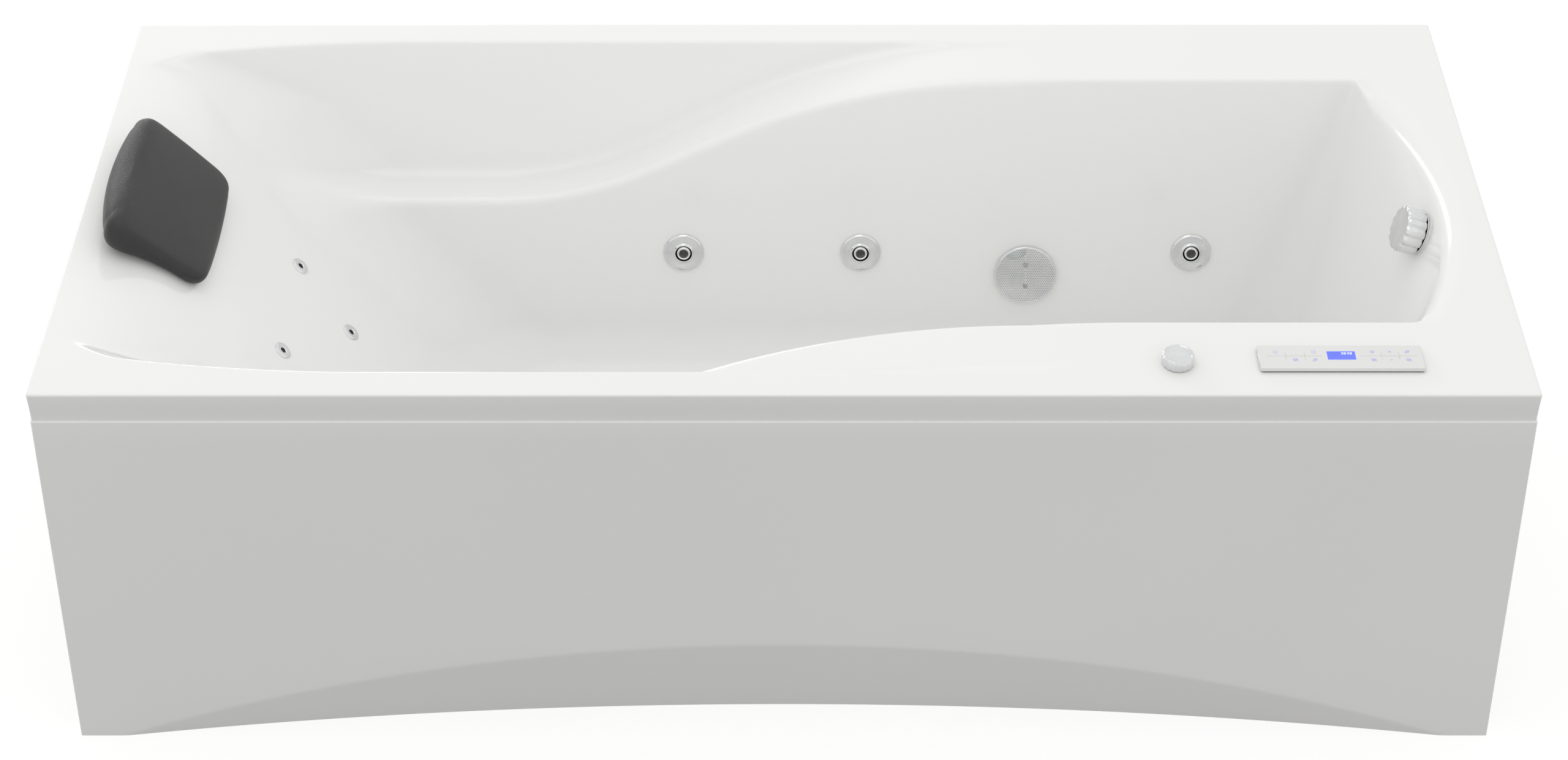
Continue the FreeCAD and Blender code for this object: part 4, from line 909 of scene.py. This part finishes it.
def drilled_chrome() -> bpy.types.Material:
    """Chrome sheet with rows of 1.2 mm holes at a 3 mm pitch, drawn in relief and with painted shade in the
    colour.
    """
    material = CHROME.make().copy()
    material.name = "drilled_plated_chrome"
    tree = material.node_tree
    shader = next(n for n in tree.nodes if n.type == "BSDF_PRINCIPLED")
    place = next(n for n in tree.nodes if n.type == "TEX_COORD").outputs["Object"]
    pitch = 3.0 * MM
    row_pitch = math.sqrt(3) / 2

    def step(operation: str, *values: Any) -> bpy.types.NodeSocket:
        """Add one step of arithmetic on sockets and numbers."""
        node = add_node(material, "ShaderNodeMath", {"operation": operation})
        for socket, value in zip(node.inputs, values):
            if isinstance(value, float):
                socket.default_value = value
            else:
                tree.links.new(value, socket)
        return node.outputs["Value"]

    flat = add_node(material, "ShaderNodeVectorMath", {"operation": "ADD"}, {"0": place})
    flat.inputs[1].default_value = tuple(-SUCTION.point * MM)
    spin = add_node(material, "ShaderNodeVectorRotate", {"rotation_type": "EULER_XYZ"},
                    {"Vector": flat.outputs["Vector"]})
    spin.inputs["Rotation"].default_value = SUCTION.axis.to_track_quat("Z", "Y").inverted().to_euler("XYZ")
    cell = add_node(material, "ShaderNodeVectorMath", {"operation": "SCALE"}, {"0": spin.outputs["Vector"]})
    cell.inputs["Scale"].default_value = 1 / pitch
    part = add_node(material, "ShaderNodeSeparateXYZ", links={"Vector": cell.outputs["Vector"]})
    row = step("MULTIPLY", part.outputs["Y"], 1 / row_pitch)
    odd = step("FLOORED_MODULO", step("FLOOR", row), 2.0)
    column = step("ADD", part.outputs["X"], step("MULTIPLY", odd, 0.5))
    across, up = (step("SUBTRACT", step("FRACT", source), 0.5) for source in (column, row))
    joined = add_node(material, "ShaderNodeCombineXYZ", links={"X": across, "Y": up})
    away = add_node(material, "ShaderNodeVectorMath", {"operation": "LENGTH"},
                    {"0": joined.outputs["Vector"]})
    # Mask of the holes: painted shade in the colour and a dip in the relief.
    hole = add_node(material, "ShaderNodeMapRange", {"From Min": 0.17, "From Max": 0.22},
                    {"Value": away.outputs["Value"]})
    colour = shader.inputs["Base Color"].links[0].from_socket
    mix = add_node(material, "ShaderNodeMix", {"data_type": "RGBA"},
                   {"0": hole.outputs["Result"], "7": colour})
    # Painted shade: the dark grey seen through each hole.
    mix.inputs[6].default_value = linear("#6E6F70")
    tree.links.new(mix.outputs[2], shader.inputs["Base Color"])
    bump = add_node(material, "ShaderNodeBump", {"Strength": 0.8, "Distance": 1.0 * MM},
                    {"Height": hole.outputs["Result"]})
    tree.links.new(bump.outputs["Normal"], shader.inputs["Normal"])
    return material


@dataclass
class WasteAndOverflow:
    """The fluted overflow knob on the foot wall and the waste with its lifting plug."""

    radius: float = 31.0
    stand: float = 11.0
    ribs: int = 13

    def build(self) -> list[bpy.types.Object]:
        """Build the knob, its backing ring, the waste flange and the plug."""
        profile = rounded([(20, -7.2, 0), (28, -7.2, 1), (self.radius - 0.5, -5.4, 1.5),
                           (self.radius, 16.5, 2.0), (28.5, 19.6, 1.6), (24, 19.3, 2), (9, 18.6, 3),
                           (0.01, 18.4, 0)], 5)
        away = Seat(OVERFLOW.point + OVERFLOW.axis * self.stand, OVERFLOW.axis)
        wave = flutes(self.ribs, 2.4, self.radius - 6, self.radius - 2.5)
        knob = turned("overflow_handle", away, profile, CHROME, self.ribs * 14, wave)
        settle(knob, "overflow_knob", ["overflow_knob"])
        profile = rounded([(24, -9, 0), (24, 0.3, 0), (27.6, 0.3, 0.4), (27.6, 2.8, 0.5), (19.5, 3.0, 0)])
        ring = turned("overflow_backing", OVERFLOW, profile, CHROME)
        settle(ring, TUB)
        profile = rounded([(19.9, -9, 0), (20.2, 1.6, 1.4), (24, 2.6, 1), (30.5, 2.9, 1.2),
                           (33.9, 0.9, 1.2), (33.9, 0.05, 0)])
        flange = turned("waste_flange", DRAIN, profile, CHROME)
        settle(flange, TUB)
        profile = rounded([(19.6, -12, 0), (19.6, 3.3, 0.3), (29.8, 3.3, 0.4), (29.9, 4.6, 1.2),
                           (25, 6.8, 3), (8, 7.5, 3), (0.01, 7.5, 0)])
        plug = turned("waste_plug", DRAIN, profile, CHROME)
        settle(plug, "drain_plug", ["drain_plug"])
        return [knob, ring, flange, plug]


@dataclass
class RimControls:
    """The air knob and the glass control panel on the rim."""

    knob_x: float = 473.0
    knob_y: float = -340.0
    glass_low: Point = (570.0, -358.5, 564.5)
    glass_high: Point = (768.0, -313.5, 569.0)

    def build(self) -> list[bpy.types.Object]:
        """Build the knob, the glass, its display and its printed marks."""
        seat = Seat(Vector((self.knob_x, self.knob_y, 563.5)), Vector((0, 0, 1)))
        profile = rounded([(0.01, 0, 0), (19.0, 0, 0.4), (19.6, 1.5, 1), (19.8, 11.4, 1.8), (18.2, 13.6, 1.4),
                           (16.6, 13.7, 0.8), (15.6, 13.0, 0.8), (0.01, 13.0, 0)], 5)
        knob = turned("air_knob_cap", seat, profile, CHROME, 160, flutes(16, 0.7, 16.5, 18.5))
        settle(knob, "air_knob", ["air_knob"])
        glass = self.slab("control_plate", self.glass_low, self.glass_high, 1.0, PRINTED_GLASS)
        settle(glass, TUB, ["control_glass"])
        top = self.glass_high[2]
        screen = self.slab("control_display", (653.0, -341.0, top - 0.3), (687.0, -325.5, top + 0.15),
                           0.1, DISPLAY)
        settle(screen, TUB)
        marks = self.marks(top + 0.2)
        return [knob, glass, screen, *marks]

    def slab(self, name: str, low: Point, high: Point, bevel: float, finish: Finish) -> bpy.types.Object:
        """A block between two corners in millimetres, with its edges rounded."""
        size = Vector(high) - Vector(low)
        return block(name, size, Matrix.Translation((Vector(low) + size / 2) * MM), bevel, finish)

    def marks(self, height: float) -> list[bpy.types.Object]:
        """Plain line marks over two rows of touch keys, thin rules between them, and the display's digits."""
        upper, lower, pieces = -326.5, -341.5, []
        keys = [("power", 591.5, upper, Icon.RING), ("wave", 614.0, lower, Icon.WAVE),
                ("bubbles", 637.5, lower, Icon.DOTS), ("timer", 637.5, upper, Icon.RING),
                ("lamp", 708.0, upper, Icon.RAYS), ("plus", 729.0, upper, Icon.PLUS),
                ("minus", 729.0, lower, Icon.MINUS), ("jets", 750.0, upper, Icon.DOTS),
                ("air", 750.0, lower, Icon.WAVE), ("heat", 708.0, lower, Icon.WAVE)]
        for name, x, y, icon in keys:
            strokes = scaled(icon_strokes(icon), 0.62)
            # The key marks carry the ink's faint painted glow.
            pieces.append(line_mark(f"mark_{name}", strokes, (x, y, height), ICON_INK, 0.28))
        rules = [[(580.0, 0.0), (647.0, 0.0)], [(693.0, 0.0), (762.0, 0.0)]]
        rules += [[(x, -7.0), (x, 7.0)] for x in (603.0, 626.0, 718.5, 739.5)]
        pieces.append(line_mark("mark_rules", rules, (0.0, (upper + lower) / 2, height), RULE_INK, 0.12))
        for number, digit in enumerate("3838"):
            strokes, place = scaled(digit_strokes(digit), 0.42), (671.0 + 3.6 * number, -329.5, height)
            pieces.append(line_mark(f"digit_{number}", strokes, place, DIGITS, 0.25))
        for piece in pieces:
            settle(piece, TUB)
        return pieces


class Icon(Enum):
    """The plain marks over the touch keys."""

    RING = "ring"
    WAVE = "wave"
    DOTS = "dots"
    RAYS = "rays"
    PLUS = "plus"
    MINUS = "minus"


Stroke = list[tuple[float, float]]


def circle_stroke(x: float, y: float, radius: float, start: float = 0.0, end: float = 360.0) -> Stroke:
    """Points along an arc, in millimetres."""
    return [(x + radius * math.cos(t), y + radius * math.sin(t))
            for t in np.radians(np.linspace(start, end, 20))]


def scaled(strokes: list[Stroke], scale: float) -> list[Stroke]:
    """The same strokes at another size."""
    return [[(x * scale, y * scale) for x, y in stroke] for stroke in strokes]


def icon_strokes(icon: Icon) -> list[Stroke]:
    """The strokes of a key's mark, about 9 mm across."""
    if icon is Icon.RING:
        return [circle_stroke(0, 0, 4, 120, 420), [(0, 1), (0, 5)]]
    if icon is Icon.WAVE:
        return [[(x, y + 1.3 * math.sin(x * 1.1)) for x in np.linspace(-5, 5, 24)]
                for y in (-2.4, 0.4, 3.2)]
    if icon is Icon.DOTS:
        dots = ((-2.5, -2, 2), (2, 0, 1.5), (-1, 3, 1.2), (3.4, 3.4, 0.9))
        return [circle_stroke(*dot) for dot in dots]
    if icon is Icon.RAYS:
        rays = [[(2.9 * math.cos(t), 2.9 * math.sin(t)), (4.6 * math.cos(t), 4.6 * math.sin(t))]
                for t in np.radians(np.arange(0, 360, 45))]
        return [circle_stroke(0, 0, 1.9), *rays]
    if icon is Icon.PLUS:
        return [[(-3.2, 0), (3.2, 0)], [(0, -3.2), (0, 3.2)]]
    return [[(-3.2, 0), (3.2, 0)]]


def digit_strokes(digit: str) -> list[Stroke]:
    """A seven-segment digit, 5 by 9 mm."""
    bars = {"a": ((-2, 4), (2, 4)), "b": ((2.4, 3.7), (2.4, 0.4)), "c": ((2.4, -0.4), (2.4, -3.7)),
            "d": ((-2, -4), (2, -4)), "e": ((-2.4, -0.4), (-2.4, -3.7)), "f": ((-2.4, 3.7), (-2.4, 0.4)),
            "g": ((-2, 0), (2, 0))}
    lit = {"3": "abcdg", "8": "abcdefg"}[digit]
    return [list(bars[bar]) for bar in lit]


def line_mark(name: str, strokes: list[Stroke], place: Point, finish: Finish,
              width: float) -> bpy.types.Object:
    """Draw strokes as thin flat strips at a place, all in millimetres."""
    points, faces = [], []
    for stroke in strokes:
        line = np.array(stroke)
        ahead = np.gradient(line, axis=0)
        ahead /= np.linalg.norm(ahead, axis=1)[:, None]
        across = np.stack([-ahead[:, 1], ahead[:, 0]], axis=1) * width
        first = len(points)
        for pair in zip(line - across, line + across):
            points += [(place[0] + x, place[1] + y, place[2]) for x, y in pair]
        faces += [(first + 2 * i, first + 2 * i + 2, first + 2 * i + 3, first + 2 * i + 1)
                  for i in range(len(line) - 1)]
    return mesh_piece(name, in_metres(points), faces, finish, smooth=False)


# Headrest ---------------------------------------------------------------------------------------

@dataclass
class HeadrestPillow:
    """The soft headrest: a slab with a flat slanted face, bent over the roll of the tub's head end."""

    top_half: float = 131.0
    low_half: float = 112.0
    head_bow: float = 11.0
    head_run: float = 21.0
    low_run: float = 170.0
    low_bow: float = 4.0
    roll: float = 176.0
    roll_x: float = -893.8
    roll_top: float = 563.5
    back_slope: float = 44.0
    face_slope: float = 44.0
    face_reach: float = 197.5
    thickest: float = 47.0
    crown: float = 5.0
    corner: float = 27.0
    head_rake: float = 0.9
    undercut: float = 19.0
    gap: float = 0.6
    per_side: int = 28

    def outline(self) -> np.ndarray:
        """Footprint as (run over the roll, y) points: a trapezium with round corners and bowed ends."""
        corners = [(self.head_run + self.head_bow, -self.top_half), (self.low_run, -self.low_half),
                   (self.low_run, self.low_half), (self.head_run + self.head_bow, self.top_half)]
        points: list[np.ndarray] = []
        for k, corner in enumerate(corners):
            here, before, after = (np.array(corners[(k + d) % 4], dtype=float) for d in (0, -1, 1))
            into, out = before - here, after - here
            into, out = into / np.linalg.norm(into), out / np.linalg.norm(out)
            for t in np.linspace(0, 1, 9):
                points.append(here + into * self.corner * (1 - t) ** 2 + out * self.corner * t ** 2)
            start, end = here + out * self.corner, after - out * self.corner
            for t in np.linspace(0, 1, self.per_side + 2)[1:-1]:
                point = start + (end - start) * t
                bow = 1 - ((2 * t - 1) * 0.94) ** 2
                shift = {1: self.low_bow, 3: -self.head_bow}.get(k, 0.0) * bow
                points.append(point + np.array([shift, 0.0]))
        return np.array(points)

    def face_lift(self, run: float) -> float:
        """Height of the flat face over the shell at a run over the roll."""
        turn = min(run / self.roll, math.radians(self.face_slope))
        plane = self.face_reach / math.cos(turn - math.radians(self.face_slope)) - self.roll
        return min(plane, self.thickest)

    def bend(self, run: float, y: float, lift: float) -> Point:
        """Bend a footprint point over the roll and lift it off the shell."""
        slope, centre = math.radians(self.back_slope), (self.roll_x, self.roll_top - self.roll)
        turn = min(run / self.roll, slope)
        rest = run - turn * self.roll
        reach = self.roll + self.gap + lift
        return (centre[0] + reach * math.sin(turn) + rest * math.cos(slope), y,
                centre[1] + reach * math.cos(turn) - rest * math.sin(slope))

    def rings(self) -> list[tuple[float, float]]:
        """How far each ring is drawn in from the footprint, and its share of the full height."""
        inner = [(15 + 10 * k, 1.0) for k in range(1, 11)]
        return [(self.undercut, 0.0), (14.0, 0.04), (9.5, 0.1), (5.0, 0.2), (2.0, 0.33), (0.3, 0.48),
                (0.3, 0.63), (1.6, 0.78), (4.2, 0.89), (8.0, 0.96), (13.0, 0.99), *inner]

    def draw_in(self, run: float) -> float:
        """How strongly the sides are drawn in under the cushion at a run: most at the head."""
        return 0.4 + 1.2 * (self.low_run - run) / (self.low_run - self.head_run)

    def build(self) -> bpy.types.Object:
        """Build the cushion from rings of its footprint, closed under the base and over the crown."""
        outline = self.outline()
        centre = np.array([(self.head_run + self.low_run) / 2, 0.0])
        spokes = outline - centre
        reach = np.linalg.norm(spokes, axis=1)
        points: list[Point] = []
        for inset, share in self.rings():
            for spoke, length in zip(spokes, reach):
                if share < 0.4:
                    drawn = inset * self.draw_in(centre[0] + spoke[0])
                else:
                    drawn = inset * (1 + self.head_rake * max(-spoke[0] / length, 0.0))
                scale = 1 - drawn / length
                if inset > 20:
                    scale = max(1 - inset / min(length, self.low_half), 0.02)
                run, y = centre + spoke * scale
                rise = self.crown * (1 - scale ** 2) if share > 0.9 else 0.0
                points.append(self.bend(run, y, share * self.face_lift(run) + rise))
        count = len(outline)
        faces: list[tuple[int, ...]] = []
        for ring in range(len(self.rings()) - 1):
            for k in range(count):
                after = (k + 1) % count
                faces.append((ring * count + k, ring * count + after, (ring + 1) * count + after,
                              (ring + 1) * count + k))
        last = (len(self.rings()) - 1) * count
        points.append(self.bend(centre[0], 0.0, self.face_lift(centre[0]) + self.crown))
        faces += [(last + k, last + (k + 1) % count, len(points) - 1) for k in range(count)]
        base_rings = 6
        start = len(points)
        for ring in range(1, base_rings):
            for k, spoke in enumerate(spokes):
                drawn = self.undercut * self.draw_in(centre[0] + spoke[0])
                run, y = centre + spoke * (1 - drawn / reach[k]) * (1 - ring / base_rings)
                points.append(self.bend(run, y, 0.0))
        for ring in range(base_rings - 1):
            outer = 0 if ring == 0 else start + (ring - 1) * count
            inner = start + ring * count
            for k in range(count):
                after = (k + 1) % count
                faces.append((outer + after, outer + k, inner + k, inner + after))
        points.append(self.bend(centre[0], 0.0, 0.0))
        last = start + (base_rings - 2) * count
        faces += [(last + (k + 1) % count, last + k, len(points) - 1) for k in range(count)]
        piece = mesh_piece("headrest_cushion", in_metres(points), faces, FOAM_SKIN)
        clean_mesh(piece)
        relax = piece.modifiers.new("relax", "LAPLACIANSMOOTH")
        relax.iterations, relax.lambda_factor, relax.use_volume_preserve = 2, 0.2, True
        smooth = piece.modifiers.new("soft", "SUBSURF")
        smooth.levels = smooth.render_levels = 1
        apply_modifiers(piece)
        settle(piece, TUB, ["headrest_pillow"])
        return piece


# CAD nodes that keep their own mesh -------------------------------------------------------------

@dataclass
class CadFinishes:
    """Finishes for the CAD nodes that keep their own mesh."""

    plain: dict[str, Finish] = field(default_factory=lambda: dict(CAD_FINISHES))

    def dress(self) -> int:
        """Give each CAD node the finish of its material slot.

        Returns:
            How many nodes were dressed.
        """
        slots = {entry["node"]: entry["material_slot"] for entry in frame["record"]["subparts"]}
        for node, piece in frame["nodes"].items():
            material = self.plain[slots[node]].make()
            if not piece.material_slots:
                piece.data.materials.append(material)
            for material_slot in piece.material_slots:
                material_slot.material = material
        return len(slots)


# Room, light and camera -------------------------------------------------------------------------

@dataclass(frozen=True)
class Lamp:
    """A soft box: where it hangs, what it points at, its size in metres and its power in watts."""

    name: str
    place: Point
    aim: Point
    size: tuple[float, float]
    power: float


@dataclass
class Studio:
    """A plain pale floor, soft lamps and the photograph's camera."""

    camera_place: Point = (0.0, -3.3325, 3.0243)
    pitch: float = 57.732
    lens: float = 73.47
    shift: float = -0.26756
    sky: float = 0.92
    floor_colour: str = "#7E7D7C"
    floor_glow: float = 0.84
    lamps: tuple[Lamp, ...] = (Lamp("softbox_top", (-0.4, 0.2, 3.6), (0.1, 0.0, 0.4), (2.4, 1.6), 6.0),
                               Lamp("strip_behind", (-1.7, 2.6, 1.3), (0.2, 0.0, 0.55), (2.4, 0.55), 15.0))

    def build(self) -> None:
        """Build the floor, the lamps, the world and the camera."""
        self.make_floor()
        self.make_lamps()
        self.make_world()
        self.make_camera()
        bpy.context.scene.view_settings.view_transform = "Standard"

    def make_floor(self) -> None:
        """A wide floor: dull to bounced light, white to the camera where no shadow falls on it."""
        material = bpy.data.materials.new("white_floor")
        material.use_nodes = True
        material.node_tree.nodes.clear()
        dull = add_node(material, "ShaderNodeBsdfDiffuse", {"Color": linear(self.floor_colour)})
        glow = add_node(material, "ShaderNodeEmission",
                        {"Color": linear("#FFFFFF"), "Strength": self.floor_glow})
        both = add_node(material, "ShaderNodeAddShader", links={"0": dull.outputs[0], "1": glow.outputs[0]})
        path = add_node(material, "ShaderNodeLightPath")
        seen = add_node(material, "ShaderNodeMath", {"operation": "MAXIMUM"},
                        {"0": path.outputs["Is Camera Ray"], "1": path.outputs["Is Glossy Ray"]})
        seen = add_node(material, "ShaderNodeMath", {"operation": "MAXIMUM"},
                        {"0": seen.outputs["Value"], "1": path.outputs["Is Transmission Ray"]})
        mix = add_node(material, "ShaderNodeMixShader",
                       links={"0": seen.outputs["Value"], "1": dull.outputs[0], "2": both.outputs[0]})
        add_node(material, "ShaderNodeOutputMaterial", links={"Surface": mix.outputs["Shader"]})
        mesh = bpy.data.meshes.new("floor")
        mesh.from_pydata([(-30, -30, 0), (30, -30, 0), (30, 30, 0), (-30, 30, 0)], [], [(0, 1, 2, 3)])
        mesh.materials.append(material)
        floor = bpy.data.objects.new("floor", mesh)
        bpy.context.scene.collection.objects.link(floor)

    def make_lamps(self) -> None:
        """A soft box overhead, and a long strip behind that draws the highlights on rounded edges."""
        for lamp in self.lamps:
            light = bpy.data.lights.new(lamp.name, "AREA")
            light.shape, light.energy = "RECTANGLE", lamp.power
            light.size, light.size_y = lamp.size
            box = bpy.data.objects.new(lamp.name, light)
            box.location = lamp.place
            box.rotation_euler = (Vector(lamp.aim) - Vector(lamp.place)).to_track_quat("-Z", "Y").to_euler()
            bpy.context.scene.collection.objects.link(box)

    def make_world(self) -> None:
        """An even pale sky all round."""
        world = bpy.data.worlds.new("studio")
        bpy.context.scene.world = world
        world.use_nodes = True
        world.node_tree.nodes.clear()
        path = add_node(world, "ShaderNodeLightPath")
        seen = add_node(world, "ShaderNodeMath", {"operation": "MAXIMUM"},
                        {"0": path.outputs["Is Camera Ray"], "1": path.outputs["Is Transmission Ray"]})
        soft, white = (add_node(world, "ShaderNodeBackground",
                                {"Color": linear("#FFFFFF"), "Strength": strength})
                       for strength in (self.sky, 1.0))
        mix = add_node(world, "ShaderNodeMixShader",
                       links={"0": seen.outputs["Value"], "1": soft.outputs[0], "2": white.outputs[0]})
        add_node(world, "ShaderNodeOutputWorld", links={"Surface": mix.outputs["Shader"]})

    def make_camera(self) -> None:
        """The camera at the photograph's angle: long lens, looking down, shifted as the framing needs."""
        data = bpy.data.cameras.new("view")
        data.lens, data.sensor_width, data.shift_y = self.lens, 36.0, self.shift
        camera = bpy.data.objects.new("view", data)
        camera.location = self.camera_place
        camera.rotation_euler = (math.radians(self.pitch), 0, 0)
        bpy.context.scene.collection.objects.link(camera)
        bpy.context.scene.camera = camera


def main() -> None:
    """Build the tub piece by piece and report each."""
    logging.basicConfig(level=logging.INFO, format="%(message)s")
    Studio().build()
    log.info("studio ready")
    log.info("CAD finishes: %d nodes", CadFinishes().dress())
    for maker in (TubShell(), FrontPanel(), JetFittings(), WasteAndOverflow(), RimControls(),
                  HeadrestPillow()):
        made = maker.build()
        names = [made.name] if isinstance(made, bpy.types.Object) else [piece.name for piece in made]
        log.info("%s: %s", type(maker).__name__, ", ".join(names))


if __name__ == "__main__":
    main()
